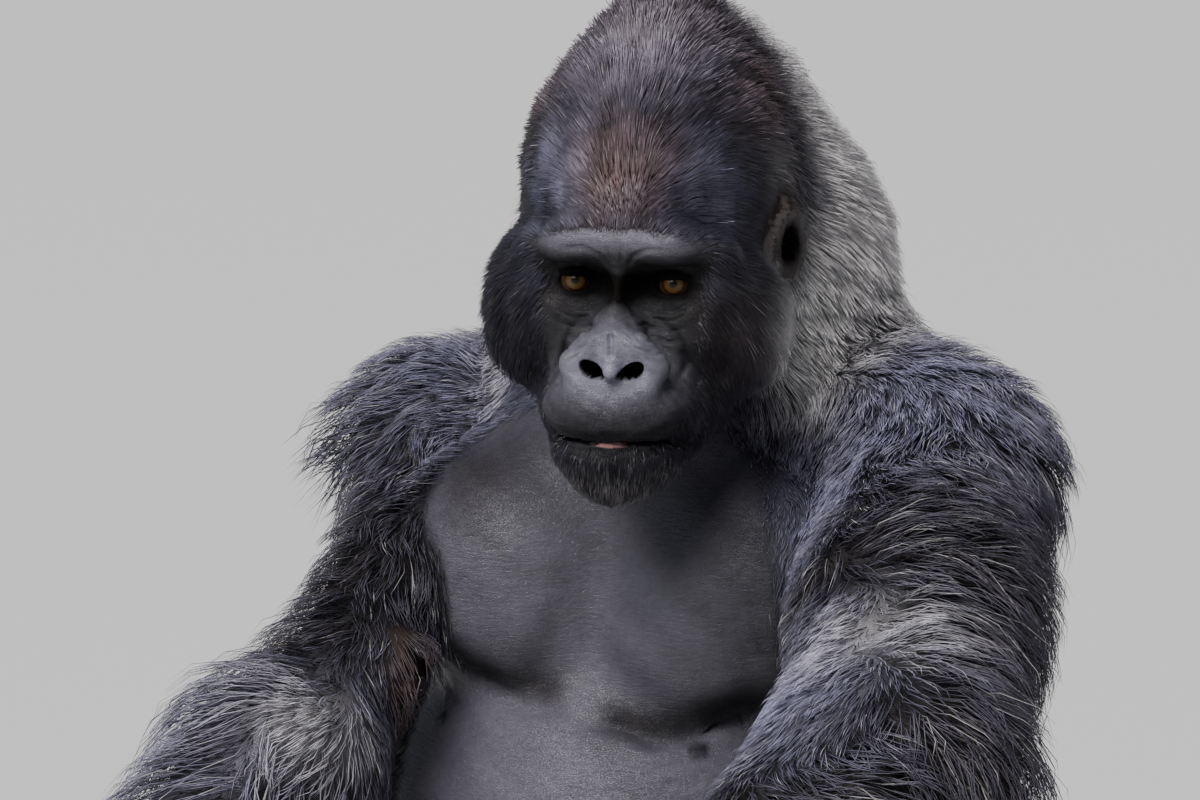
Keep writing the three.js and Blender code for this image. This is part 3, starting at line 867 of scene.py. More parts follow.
# Folds under the shoulder and between the locks of the arms, as paths in space.
ARM_FOLDS = [
    (((205, -108, 748), (232, -128, 736), (262, -140, 738), (296, -128, 748)), 12, 13),
    (((292, -270, 690), (318, -330, 668), (350, -380, 640)), 7, 16),
    (((250, -352, 640), (285, -410, 618), (300, -455, 590)), 8, 14),
    (((-150, -110, 700), (-160, -180, 660), (-150, -250, 610)), 6, 16),
]
MOUTH_LINE = ((0, -108), (24, -108.5), (42, -112.5), (58, -121))
print("folds:", len(FACE_FOLDS) + len(BREAST_FOLDS) + len(ARM_FOLDS))

# %% How deep the folds are


def along_path(flat, path, width):
    """1 on the path, 0 away from it, and slightly negative beside it."""
    path = np.array(path, float)
    runs = path[1:] - path[:-1]
    lengths = np.linalg.norm(runs, axis=1)
    before = np.concatenate([[0], np.cumsum(lengths)[:-1]]) / lengths.sum()
    nearest = np.full(len(flat), 1e9)
    share = np.zeros(len(flat))
    for start, run, length, first in zip(path[:-1], runs, lengths, before):
        t = np.clip((flat - start) @ run / length ** 2, 0, 1)
        away = np.linalg.norm(flat - start - t[:, None] * run, axis=1)
        closer = away < nearest
        nearest[closer] = away[closer]
        share[closer] = first + t[closer] * length / lengths.sum()
    fade = smooth(-0.02, 0.22, share) * (1 - smooth(0.78, 1.02, share))
    u = (nearest / width) ** 2
    return fade * (1 - 0.55 * u) * np.exp(-u * 0.8)


def furrows(points):
    """How deep the skin dips at each point, in millimetres."""
    dip = np.zeros(len(points))
    q = to_head(points)
    face = (q[:, 1] < 40) & (np.abs(q[:, 0]) < 80) & (q[:, 2] > -150) & (q[:, 2] < 60)
    if face.any():
        middle = NOSE_X * smooth(-10, 14, -24 - q[face, 2]) * smooth(-100, -84, q[face, 2])
        flat = np.stack([np.abs(q[face, 0] - middle), q[face, 2]], axis=1)
        dip[face] = sum(depth * along_path(flat, path, w) for path, depth, w in FACE_FOLDS)
        dip[face] += 4.2 * along_path(flat, MOUTH_LINE, 1.9)
    x, y, z = points.T
    breast = (y < -60) & (np.abs(x) < 200) & (z > 400) & (z < 720)
    if breast.any():
        flat = np.stack([x[breast], z[breast]], axis=1)
        waves = np.sin(flat[:, 0] * 0.11) * 2 + np.sin(flat[:, 0] * 0.047 + flat[:, 1] * 0.03) * 4
        flat[:, 1] += waves
        on_trunk = chest_bareness(points[breast], 0.6)
        dip[breast] += on_trunk * sum(
            depth * along_path(flat, path, w) for path, depth, w in BREAST_FOLDS)
    for path, depth, w in ARM_FOLDS:
        near = np.linalg.norm(points - np.mean(path, axis=0), axis=1) < 130
        if near.any():
            dip[near] += depth * along_path(points[near], path, w)
    return dip


# %% [markdown]
# ## The skin's surface
# The skin lies inside the outline by the depth of the coat, and at the outline where it is
# bare. Its distance function is that of the joined parts, plus that depth. The soft minimum
# of two distances is what makes neck and shoulder one flesh, where a boolean union would leave
# a sharp crease.

# %% Skin distance
JOIN = {"head": 14, "torso": 24, "arm": 22, "leg": 22, "hand": 10, "foot": 12}
FLOOR_GAP = 2.0
LONGEST_STEP = 9


def flesh(points):
    whole = None
    for name, form in PARTS.items():
        d = form(points)
        whole = d if whole is None else soft_min(whole, d, JOIN[name.split("_")[0]])
    return np.maximum(whole, FLOOR_GAP - points[:, 2])


def coat_depth(points):
    _, _, rise = groom(points)
    return rise * (1 - soft_bareness(points)) * smooth(0, 30, points[:, 2])


TETRA = np.array([[1, -1, -1], [-1, -1, 1], [-1, 1, -1], [1, 1, 1]], float)


def slope(form, points, step=0.6):
    """Distance and outward normal of a form at some points."""
    total = np.zeros((len(points), 3))
    d = np.zeros(len(points))
    for corner in TETRA:
        value = form(points + corner * step)
        total += value[:, None] * corner
        d += value / 4
    return d, total / np.maximum(np.linalg.norm(total, axis=1), 1e-9)[:, None]


def nostril_share(local):
    """1 deep inside a nostril and 0 outside: a slanting drop shape on the front of the nose."""
    across = np.abs(local[:, 0] - NOSE_X)
    slant = local[:, 2] + 53.5 - (across - 14.5) * 0.34
    out = ((across - 14.5) / 11.0) ** 2 + (slant / (5.6 + 0.16 * (across - 6))) ** 2
    return smooth(0, 0.62, 1 - out) * (local[:, 1] < -25)


def settle(points, rounds):
    """Moves points along the normal until they lie on the skin's surface."""
    depth = coat_depth(points) + furrows(points)
    for _ in range(rounds):
        d, normal = slope(flesh, points)
        points = points - np.clip(d + depth, -LONGEST_STEP, LONGEST_STEP)[:, None] * normal
    return points


in_belly = np.array([[0.0, 0.0, 400.0]])
print("the middle of the belly is", round(float(-flesh(in_belly)[0])), "mm deep")

# %% [markdown]
# ## The skin's mesh
# The solids of the flesh are copied, joined and rebuilt by the Remesh modifier as one closed
# surface. That surface is subdivided where it needs detail, and drawn onto the skin's distance
# function after each step. Between two steps the points are evened out along the surface. A
# marching grid over the distance function would also close it, but at the fineness that the
# eyelids need it would be far too large.

# %% Join and remesh
VOXEL = 0.0118
flesh_nodes = sorted(name for name in NODES if not name.startswith("eye_"))
bpy.ops.object.select_all(action="DESELECT")
for name in flesh_nodes:
    copy = NODES[name].copy()
    copy.data = NODES[name].data.copy()
    copy.parent = None
    for key in list(copy.keys()):
        del copy[key]
    bpy.context.scene.collection.objects.link(copy)
    copy.select_set(True)
    bpy.context.view_layer.objects.active = copy
bpy.ops.object.join()
skin = bpy.context.object
skin.name = "skin"
bpy.ops.object.mode_set(mode="EDIT")
bpy.ops.mesh.select_all(action="SELECT")
bpy.ops.mesh.remove_doubles(threshold=0.00001)
bpy.ops.object.mode_set(mode="OBJECT")
remesh = skin.modifiers.new("remesh", "REMESH")
remesh.mode = "VOXEL"
remesh.voxel_size = VOXEL
bpy.ops.object.modifier_apply(modifier=remesh.name)
print("remeshed skin:", len(skin.data.polygons), "faces")

# %% Mesh tools


def read_points(obj):
    flat = np.zeros(len(obj.data.vertices) * 3)
    obj.data.vertices.foreach_get("co", flat)
    return to_animal(flat.reshape(-1, 3))


def write_points(obj, points):
    obj.data.vertices.foreach_set("co", to_frame(points).ravel())
    obj.data.update()


def even_out(obj, points, share=0.5):
    """Draws each point towards the middle of its neighbours; settling puts it back on the skin."""
    ends = np.zeros(len(obj.data.edges) * 2, int)
    obj.data.edges.foreach_get("vertices", ends)
    a, b = ends.reshape(-1, 2).T
    here, there = np.concatenate([a, b]), np.concatenate([b, a])
    count = np.bincount(here, minlength=len(points))
    sums = [np.bincount(here, points[there, k], len(points)) for k in range(3)]
    middle = np.stack(sums, axis=1) / np.maximum(count, 1)[:, None]
    return points + (middle - points) * share


def face_middles(obj):
    flat = np.zeros(len(obj.data.polygons) * 3)
    obj.data.polygons.foreach_get("center", flat)
    return to_animal(flat.reshape(-1, 3))


def read_normals(obj):
    flat = np.empty(len(obj.data.vertices) * 3)
    obj.data.vertices.foreach_get("normal", flat)
    return flat.reshape(-1, 3)


def select_only(obj):
    bpy.ops.object.select_all(action="DESELECT")
    obj.select_set(True)
    bpy.context.view_layer.objects.active = obj


def smooth_faces(mesh):
    mesh.polygons.foreach_set("use_smooth", np.ones(len(mesh.polygons), bool))


def refine(obj, chosen):
    """Subdivides the chosen faces once."""
    select_only(obj)
    bpy.ops.object.mode_set(mode="EDIT")
    bpy.ops.mesh.select_mode(type="FACE")
    bpy.ops.mesh.select_all(action="DESELECT")
    bpy.ops.object.mode_set(mode="OBJECT")
    obj.data.polygons.foreach_set("select", chosen)
    bpy.ops.object.mode_set(mode="EDIT")
    bpy.ops.mesh.subdivide(number_cuts=1)
    bpy.ops.object.mode_set(mode="OBJECT")


# %% Draw it onto the forms
EAR_SWELL = 6
EAR_SWELL_FINER = 4.5
NOSE_PUSH = 16
points = read_points(skin)
points += read_normals(skin) * EAR_SWELL * ear_bareness(points)[:, None]
forward = NOSE_PUSH * patch(to_head(points), (3, -50, -50), (46, 40, 40))
points -= forward[:, None] * (HEAD_TURN @ np.array([0, 1, 0]))
for _ in range(3):
    points = settle(even_out(skin, points), 3)
write_points(skin, points)
off = np.abs(slope(flesh, points)[0] + coat_depth(points) + furrows(points))
print("first fit: half of the points within", round(float(np.median(off)), 2), "mm")

# %% Where it has to be finer


def near_hands_or_feet(points):
    found = np.zeros(len(points), bool)
    for limb in LIMBS.values():
        q = (points - np.array(limb["wrist"])) @ hand_turn(limb)
        hand = (np.abs(q[:, 0]) < 90) & (np.abs(q[:, 1]) < 75)
        found |= hand & (q[:, 2] > -270) & (q[:, 2] < -20)
        q = (points - np.array(foot_place(limb))) @ foot_turn(limb)
        foot = (np.abs(q[:, 0]) < 110) & (q[:, 2] < 80)
        found |= foot & (q[:, 1] < 60) & (q[:, 1] > -240)
    return found


def draw_finer(chosen, rounds=2, share=0.5):
    refine(skin, chosen)
    points = read_points(skin)
    points += read_normals(skin) * EAR_SWELL_FINER * ear_bareness(points)[:, None]
    for _ in range(rounds):
        points = settle(even_out(skin, points, share), 3)
    write_points(skin, points)


def in_head_box(middles, width, back, low, high):
    q = to_head(middles)
    return (np.abs(q[:, 0]) < width) & (q[:, 1] < back) & (q[:, 2] > low) & (q[:, 2] < high)


def near_spots(middles, spots, radius):
    q = to_head(middles)
    q[:, 0] = np.abs(q[:, 0])
    return np.min([np.linalg.norm(q - spot, axis=1) for spot in spots], axis=0) < radius


def on_breast(middles):
    return (chest_bareness(middles) > 0.2) & (middles[:, 1] < -60)


# %% Finer, step by step
EYE_AND_LIP_SPOTS = [
    (38, 0, 0), (17.5, -58, -54), (11.5, -58, -54),
    (0, -66, -107), (24, -62, -107), (44, -50, -109),
]
SPOT_RADIUS = 17
middles = face_middles(skin)
chosen = in_head_box(middles, 78, 52, -170, 60) | (ear_bareness(middles) > 0)
draw_finer(chosen | near_hands_or_feet(middles) | on_breast(middles))
middles = face_middles(skin)
draw_finer(in_head_box(middles, 66, 44, -150, 56), 2, 0.35)
middles = face_middles(skin)
draw_finer(in_head_box(middles, 60, 26, -118, 42), 2, 0.35)
middles = face_middles(skin)
draw_finer(near_spots(middles, EYE_AND_LIP_SPOTS, SPOT_RADIUS), 2, 0.35)
print("skin faces after refining:", len(skin.data.polygons))

# %% Nostrils
NOSTRIL_DEPTH = 15
points = read_points(skin)
inward = HEAD_TURN @ np.array([0, 1, 0.12])
points += nostril_share(to_head(points))[:, None] * NOSTRIL_DEPTH * inward
write_points(skin, points)
triangles = sum(len(face.vertices) - 2 for face in skin.data.polygons)
print("skin:", triangles, "triangles", round(time.time() - STARTED, 1), "s")

# %% [markdown]
# ## Markings
# Skin and coat share one set of markings: a near-black animal with a brown-red crown, a silver
# nape and saddle, pale hair below the ears and pale tips on the arms. Some patches are painted
# light and shade: a sheen on the crown, shoulders, brow, nose and the middle of the breast, and
# shade in the sockets, the nostrils, the ears, the mouth, under the nose and on the breast. Each
# marking is a soft patch round a place on the body. It could be painted on an image, but the skin
# and a hair that grows on it have to agree, and a function of the place gives both the same
# answer.

# %% Colours and how they mix


def spot(points, centre, radii, soft=0.35):
    q = (points - np.array(centre, float)) / np.array(radii, float)
    return 1 - smooth(1 - soft, 1 + soft, np.linalg.norm(q, axis=1))


BLACK = np.array([0.0090, 0.0085, 0.0105])
BLUE_GREY = np.array([0.063, 0.061, 0.093])
RED_BROWN = np.array([0.066, 0.034, 0.027])
SILVER = np.array([0.34, 0.325, 0.33])
PALE = np.array([0.60, 0.58, 0.58])
UMBER = np.array([0.034, 0.025, 0.021])
RUST = np.array([0.15, 0.065, 0.026])
HIDE_TONE = np.array([0.028, 0.027, 0.034])
# Painted shade, almost black, deep in the nostrils and between the lips.
CAVITY_SHADE = (0.0010, 0.0010, 0.0010)
LIP_PINK = (0.42, 0.20, 0.19)


def mixed(under, over, amount):
    return under + (over - under) * np.clip(amount, 0, 1)[:, None]


# %% Markings of the coat


def coat_colours(points):
    """The colour of the hair near its root and at its tip, and how many hairs are pale; a painted
    sheen on the crown, temples and shoulders is part of it.
    """
    q = to_head(points)
    mirrored = q.copy()
    mirrored[:, 0] = np.abs(q[:, 0])
    crown = 0.8 * patch(q, (0, 110, 165), (70, 90, 60))
    crown = np.maximum(patch(q, (0, 10, 84), (40, 60, 34)), crown)
    crown = np.maximum(crown, patch(mirrored, (72, 120, 130), (34, 60, 50)) * 0.9)
    # Painted sheen: lighter, bluer hair on the top of the crown and on the temples.
    sheen = patch(q, (0, 84, 165), (54, 50, 34)) + patch(mirrored, (62, 20, 70), (26, 40, 34))
    sideways = np.abs(points[:, 0] - GIRDLE_X)
    nape = smooth(150, 215, q[:, 1]) * (q[:, 2] > -160) * (1 - smooth(110, 175, sideways))
    nape *= smooth(-60, 20, points[:, 1])
    saddle = smooth(40, 150, points[:, 1]) * smooth(120, 260, points[:, 2])
    cheek = 1.7 * patch(q, (127, 66, -42), (14, 60, 42))
    cheek += 2 * patch(q, (114, 150, -66), (30, 44, 46))
    neck = smooth(795, 850, points[:, 2]) * smooth(96, 136, sideways) * smooth(50, 110, q[:, 1])
    # Painted sheen: the fur on the top of both shoulders lighter and bluer, as if lit from above.
    shoulder_top_sheen = 1.2 * patch(points, (-140, -40, 765), (110, 90, 60))
    shoulder_top_sheen += 1.4 * patch(points, (235, -50, 790), (90, 90, 56))
    arms = -np.minimum(PARTS["arm_left"](points), PARTS["arm_right"](points))
    arm = smooth(-10, 30, arms)
    short_blue = patch(points, (262, -370, 640), (56, 90, 66))
    short_blue += 0.8 * patch(points, (186, -110, 700), (40, 60, 90))
    short_blue += 0.7 * patch(points, (-190, -390, 560), (80, 90, 60))
    whorls = patch(points, (286, -318, 655), (36, 44, 40))
    whorls += patch(points, (-147, -352, 560), (36, 36, 34))
    streak = 0.45 * patch(points, (-121, -222, 562), (9, 26, 28))
    chin = patch(q, (0, -40, -150), (54, 40, 26))
    brown_cheek = patch(q, (84, 20, -44), (34, 46, 50))
    uneven = 0.5 + 0.5 * ripple(points, 60, 3)
    clump = 0.5 + 0.5 * ripple(points, 21, 4)
    silvery = np.clip(np.maximum(np.maximum(saddle * 0.8, nape), neck), 0, 1)
    root = np.tile(BLACK, (len(points), 1))
    root = mixed(root, BLUE_GREY * 1.4, sheen * 0.5 + short_blue * 0.9 + shoulder_top_sheen * 0.6)
    root = mixed(root, UMBER, arm * 0.4 * uneven + chin * 0.5 + brown_cheek)
    root = mixed(root, RED_BROWN, crown * 0.8)
    root = mixed(root, SILVER * 1.15, silvery)
    root = mixed(root, PALE * 0.9, cheek + whorls * 0.25)
    root = mixed(root, RUST, streak * 0.8)
    tip = root * 1.5 + BLUE_GREY * (0.40 + 0.5 * clump)[:, None]
    tip = mixed(tip, BLUE_GREY * 3.4, shoulder_top_sheen * 0.8 + sheen)
    # Painted sheen: the tips on the top of the crown lighter and pinker.
    tip = mixed(tip, np.array([0.36, 0.31, 0.34]), patch(q, (0, 84, 172), (60, 50, 30)) * 0.8)
    tip = mixed(tip, BLUE_GREY * 4.2, short_blue)
    tip = mixed(tip, SILVER * 2.5, silvery * (0.75 + 0.25 * clump))
    tip = mixed(tip, PALE * 1.45, cheek + whorls * 0.3)
    pale = 0.03 + 0.05 * arm * uneven + 0.30 * whorls + 0.22 * silvery
    pale = pale + 0.35 * cheek + 0.3 * chin
    round_ear = 1.5 * patch(mirrored, (100, 112, 26), (24, 30, 36))
    root, tip = mixed(root, UMBER, round_ear), mixed(tip, UMBER * 1.6, round_ear)
    pale *= 1 - np.clip(round_ear, 0, 1)
    return root, tip, pale


# %% Markings of the hide


def skin_colours(points):
    """The tones of the hide, each laid over those before it, from the breast up to the lips; some
    of them are painted shade and painted sheen.
    """
    local = to_head(points)
    q = local.copy()
    q[:, 0] = np.abs(q[:, 0])
    breast = chest_bareness(points)
    covered = 1 - bareness(points)
    # Painted shade: a dark band where the breast turns under, just above its folds.
    above_folds = points[:, ::2] - [0, 12]
    turned_under_shade = [
        along_path(above_folds, path, 19) * breast * (points[:, 1] < -60)
        for path, _, _ in BREAST_FOLDS[:2]
    ]
    # Painted shade in the hollow of each ear.
    ear_bowl_shade = [
        spot(((local - EAR_PLACE[s]) @ ear_turn(s)) * [s, 1, 1], (8, -3, -1), (11, 13, 20))
        for s in (1, -1)
    ]
    # Painted shade: almost black in the deep sockets and the hollow beside the bridge of the nose.
    deep = patch(q, (36, 0, 0), (25, 26, 15)) + patch(q, (5, -16, 1), (19, 26, 17))
    # Darker skin below the eyes, partly painted shade below the sockets.
    under_eye = patch(q, (34, -4, -22), (30, 26, 14)) + patch(q, (56, 4, -44), (24, 34, 26))
    between_lips = along_path(q[:, ::2], MOUTH_LINE, 2.0) * (q[:, 1] < 0)
    nipple_spots = [
        spot(points, middle, (7, 12, 5), 0.6) for middle in ((-124, -148, 508), (100, -162, 505))
    ]
    layers = [
        ((0.048, 0.045, 0.062), breast * 0.9),
        # Painted light: the middle of the breast lighter and bluer, as if lit.
        ((0.064, 0.061, 0.078), patch(points, (20, -150, 625), (90, 70, 90))),
        # Painted shade: the top of the breast on the animal's right, and its left side, darker.
        ((0.016, 0.0145, 0.018), patch(points, (-96, -120, 700), (60, 70, 66))),
        ((0.018, 0.017, 0.021), patch(points, (150, -120, 640), (60, 70, 110))),
        *(((0.006, 0.005, 0.005), share * 0.85) for share in turned_under_shade),
        (coat_colours(points)[0], covered),
        # Blue-grey hide of the nose, made lighter as a painted sheen.
        ((0.138, 0.133, 0.180), patch(q, (0, -60, -54), (44, 40, 27))),
        # Painted highlight: the top of the bare brow lighter.
        ((0.078, 0.073, 0.096), patch(q, (26, -10, 41), (44, 30, 10)) * (1 - covered)),
        # A darker upper lip, with painted shade under the nose.
        ((0.013, 0.012, 0.015), 1.15 * patch(q, (0, -60, -94), (68, 42, 23))),
        ((0.018, 0.013, 0.009), patch(q, (72, 20, -10), (20, 40, 34))),
        ((0.020, 0.018, 0.021), patch(q, (80, 22, 32), (18, 40, 22))),
        ((0.040, 0.032, 0.031), ear_bareness(points)),
        *(((0.003, 0.0025, 0.0025), share) for share in ear_bowl_shade),
        ((0.0045, 0.0040, 0.0038), deep * 1.35),
        # Painted shade under the bar of the brow, over the eyes.
        ((0.012, 0.011, 0.012), patch(q, (34, -12, 19), (50, 30, 8)) * 0.85),
        ((0.012, 0.011, 0.012), under_eye * 0.75),
        # Painted shade inside the nostrils.
        (CAVITY_SHADE, smooth(0.02, 0.22, nostril_share(local))),
        ((0.013, 0.011, 0.010), patch(q, (0, -40, -137), (70, 50, 19)) * 0.9),
        # Painted shade in the line between the lips.
        (CAVITY_SHADE, smooth(0.25, 0.8, between_lips)),
        (LIP_PINK, spot(local, (1, -66, -110.2), (14, 16, 1.5))),
        *(((0.004, 0.003, 0.003), share) for share in nipple_spots),
    ]
    tones = np.tile(HIDE_TONE, (len(points), 1))
    for tone, amount in layers:
        tones = mixed(tones, np.array(tone), amount)
    dapple = 1 + 0.12 * ripple(points, 38, 8) + 0.10 * ripple(points, 11, 9)
    return tones * dapple[:, None]


def paint(obj, colours):
    layer = obj.data.color_attributes.new("markings", "FLOAT_COLOR", "POINT")
    rgba = np.ones((len(colours), 4))
    rgba[:, :3] = colours
    layer.data.foreach_set("color", rgba.ravel())


print("hide of the nose tip:", np.round(skin_colours(on_head(NOSE_X, -60, -60)[None])[0], 3))

# %% [markdown]
# ## Materials
# Every surface reads the markings from its own colour attribute. Hide gets leathery pores and
# fine level wrinkles, hair gets a long soft gloss, and both get small uneven changes of tone.
# Pores could be displaced, but at a millimetre across they only catch the light, so bump is
# enough. The Hair shader is made for curves, and on solid tufts the Principled one looks right.

# %% Node tools


def new_material(name):
    material = bpy.data.materials.new(name)
    material.use_nodes = True
    nodes = material.node_tree.nodes
    return material, nodes, material.node_tree.links, nodes["Principled BSDF"]


def node(nodes, kind, **settings):
    made = nodes.new(kind)
    for key, value in settings.items():
        if key in made.inputs:
            made.inputs[key].default_value = value
        else:
            setattr(made, key, value)
    return made


def math_node(nodes, links, operation, *values):
    made = nodes.new("ShaderNodeMath")
    made.operation = operation
    for socket, value in zip(made.inputs, values):
        if isinstance(value, (int, float)):
            socket.default_value = value
        else:
            links.new(value, socket)
    return made.outputs[0]


def markings_times(shade, nodes, links, shader):
    """Base colour: the painted markings, lighter or darker by a shade. Returns the markings."""
    tone = node(nodes, "ShaderNodeVertexColor", layer_name="markings")
    scaled = node(nodes, "ShaderNodeVectorMath", operation="SCALE")
    links.new(tone.outputs["Color"], scaled.inputs[0])
    links.new(shade, scaled.inputs["Scale"])
    links.new(scaled.outputs["Vector"], shader.inputs["Base Color"])
    return tone.outputs["Color"]


# %% Hide: pores and wrinkles
PORE_DEPTH = 0.0010
hide, nodes, links, shader = new_material("hide")
place = nodes.new("ShaderNodeTexCoord").outputs["Object"]
grain = node(nodes, "ShaderNodeTexNoise", Scale=260.0, Detail=4.0, Roughness=0.6)
links.new(place, grain.inputs["Vector"])
pores = node(nodes, "ShaderNodeTexVoronoi", Scale=760.0, feature="DISTANCE_TO_EDGE")
squat = node(nodes, "ShaderNodeMapping", Scale=(0.62, 0.62, 1.15))
links.new(place, squat.inputs["Vector"])
links.new(squat.outputs["Vector"], pores.inputs["Vector"])
level = node(nodes, "ShaderNodeMapping", Scale=(90, 90, 420))
links.new(place, level.inputs["Vector"])
wrinkle = node(nodes, "ShaderNodeTexNoise", Scale=1.0, Detail=3.0, Roughness=0.55)
links.new(level.outputs["Vector"], wrinkle.inputs["Vector"])
edges = math_node(nodes, links, "MINIMUM", pores.outputs["Distance"], 0.14)
height = math_node(nodes, links, "MULTIPLY", edges, 2.6)
height = math_node(nodes, links, "ADD", height, wrinkle.outputs["Fac"])
fine = math_node(nodes, links, "MULTIPLY", grain.outputs["Fac"], 0.6)
height = math_node(nodes, links, "ADD", height, fine)
bump = node(nodes, "ShaderNodeBump", Strength=0.8, Distance=PORE_DEPTH)
links.new(height, bump.inputs["Height"])
links.new(bump.outputs["Normal"], shader.inputs["Normal"])
print("hide: pores", PORE_DEPTH * 1000, "mm deep")

# %% Hide: colour and gloss
shade = math_node(nodes, links, "MULTIPLY_ADD", grain.outputs["Fac"], 0.7, 0.50)
# Painted shade: the hide darker in the creases between the pores.
crease_shaded = math_node(nodes, links, "MULTIPLY_ADD", edges, 1.7, shade)
markings = markings_times(crease_shaded, nodes, links, shader)
gloss = math_node(nodes, links, "MULTIPLY_ADD", wrinkle.outputs["Fac"], 0.28, 0.36)
links.new(gloss, shader.inputs["Roughness"])
# Less gloss where the markings are dark, so the painted shade in sockets, nostrils and the mouth
# reflects almost nothing.
not_dark = nodes.new("ShaderNodeMapRange")
for socket, value in (("From Min", 0.005), ("From Max", 0.040), ("To Min", 0.0), ("To Max", 0.5)):
    not_dark.inputs[socket].default_value = value
links.new(markings, not_dark.inputs["Value"])
links.new(not_dark.outputs["Result"], shader.inputs["Specular IOR Level"])
print("hide:", len(nodes), "nodes")

# %% Hair
HAIR = {}
HAIR_GLOSS = 0.3
for name, roughness in (("coat", 0.5), ("crown", 0.5), ("silver", 0.55)):
    material, nodes, links, shader = new_material("hair " + name)
    place = nodes.new("ShaderNodeTexCoord").outputs["Object"]
    speck = node(nodes, "ShaderNodeTexNoise", Scale=310.0, Detail=2.0)
    links.new(place, speck.inputs["Vector"])
    shade = math_node(nodes, links, "MULTIPLY_ADD", speck.outputs["Fac"], 0.9, 0.55)
    markings_times(shade, nodes, links, shader)
    shader.inputs["Roughness"].default_value = roughness
    shader.inputs["Specular IOR Level"].default_value = HAIR_GLOSS
    HAIR[name] = material
print("hair materials:", ", ".join(HAIR))

# %% [markdown]
# ## Dressing the skin
# The skin gets smooth shading, an unwrap, its markings and the hide. Smart UV Project cuts it
# where it turns. Seams marked by hand would give larger islands, but nobody has to look at
# these: the unwrap is only a map for baking colours onto, and tells each tuft where its root is.

# %% Finish the skin
smooth_faces(skin.data)
select_only(skin)
while skin.data.uv_layers:
    skin.data.uv_layers.remove(skin.data.uv_layers[0])
skin.data.uv_layers.new(name="OFBake")
bpy.ops.object.mode_set(mode="EDIT")
bpy.ops.mesh.select_all(action="SELECT")
bpy.ops.uv.smart_project(angle_limit=1.15, island_margin=0.0)
bpy.ops.object.mode_set(mode="OBJECT")
skin_points = read_points(skin)
paint(skin, skin_colours(skin_points))
skin.data.materials.clear()
skin.data.materials.append(hide)
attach(skin, "root")
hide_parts(*flesh_nodes)
print("skin finished", round(time.time() - STARTED, 1), "s")

# %% [markdown]
# ## Roots
# Roots are spread over the skin's triangles by area, closer together where the hair is short.
# Each root keeps its place, its normal and its place on the skin's unwrap. Geometry Nodes can
# spread points too, but here the number of tufts is worked out from a budget of triangles.

# %% How crowded the hair is
COAT_TRIANGLES = 1_590_000
SHORT = 21.0
MEDIUM = 36.0
TUFT_TRIANGLES = (4, 10, 16)
THINNEST_HAIR = 0.56
WIDTH_PER_LENGTH = 0.0115
BARE_BELOW = 6


def skin_triangles():
    """The corners of every triangle as points and as loops, and the unwrap of every loop."""
    mesh = skin.data
    mesh.calc_loop_triangles()
    corners, loops = (np.zeros(len(mesh.loop_triangles) * 3, int) for _ in range(2))
    mesh.loop_triangles.foreach_get("vertices", corners)
    mesh.loop_triangles.foreach_get("loops", loops)
    uv = np.zeros(len(mesh.loops) * 2)
    mesh.uv_layers["OFBake"].data.foreach_get("uv", uv)
    return corners.reshape(-1, 3), loops.reshape(-1, 3), uv.reshape(-1, 2)


def hair_width(length):
    return THINNEST_HAIR + WIDTH_PER_LENGTH * length


def hair_cost(length):
    few, some, many = TUFT_TRIANGLES
    return np.where(length < SHORT, few, np.where(length < MEDIUM, some, many))


def wanted_cover(points, facing):
    """How many hairs lie over each spot: most on the head, fewest underneath and behind."""
    q = to_head(points)
    on_head = (q[:, 2] > -175) & (q[:, 1] < 190)
    high = smooth(420, 560, points[:, 2])
    cover = 0.95 + 1.15 * high + 1.6 * on_head
    return cover * (0.7 + 0.3 * smooth(-0.6, 0.0, facing))


corners, loops, uv = skin_triangles()
normals = read_normals(skin)
sides = skin_points[corners[:, 1:]] - skin_points[corners[:, :1]]
areas = np.linalg.norm(np.cross(sides[:, 0], sides[:, 1]), axis=1) / 2
middles = skin_points[corners].mean(1)
_, long, _ = groom(middles)
hairy = 1 - bareness(middles)
facing = normals[corners].mean(1) @ -ahead
taper = np.where(long < SHORT, 0.5, 0.72)
crowding = hairy * wanted_cover(middles, facing) / (long * hair_width(long) * taper)
crowding *= middles[:, 2] > BARE_BELOW
cost = areas * crowding * hair_cost(long)
count = int((areas * crowding).sum() * COAT_TRIANGLES / cost.sum())
print("roots wanted:", count, "cover scale:", round(COAT_TRIANGLES / cost.sum(), 2))

# %% Spread the roots
rng = np.random.default_rng(20)
ladder = np.cumsum(areas * crowding)
rungs = (np.arange(count) + rng.uniform(0, 1, count)) * ladder[-1] / count
chosen = np.clip(np.searchsorted(ladder, rungs), 0, len(areas) - 1)
share = rng.uniform(0, 1, (count, 2))
share = np.where(share.sum(1, keepdims=True) > 1, 1 - share, share)
share = np.column_stack([1 - share.sum(1), share])


def blended(values):
    return (values * share[:, :, None]).sum(1)


roots = blended(skin_points[corners[chosen]])
root_normals = blended(normals[corners[chosen]])
root_normals /= np.linalg.norm(root_normals, axis=1)[:, None]
root_uv = blended(uv[loops[chosen]])
print("roots:", len(roots))

# %% [markdown]
# ## Tufts
# A tuft is a slim solid spindle with three sides. It starts just under the skin, follows the
# lie of the coat, and rises until its tip stands at the height that the comb strokes ask for.
# Tips are drawn together in locks, and each lock wanders a little from its neighbours. Curves
# would be lighter, but only a mesh is the same thing in every program that opens the model.

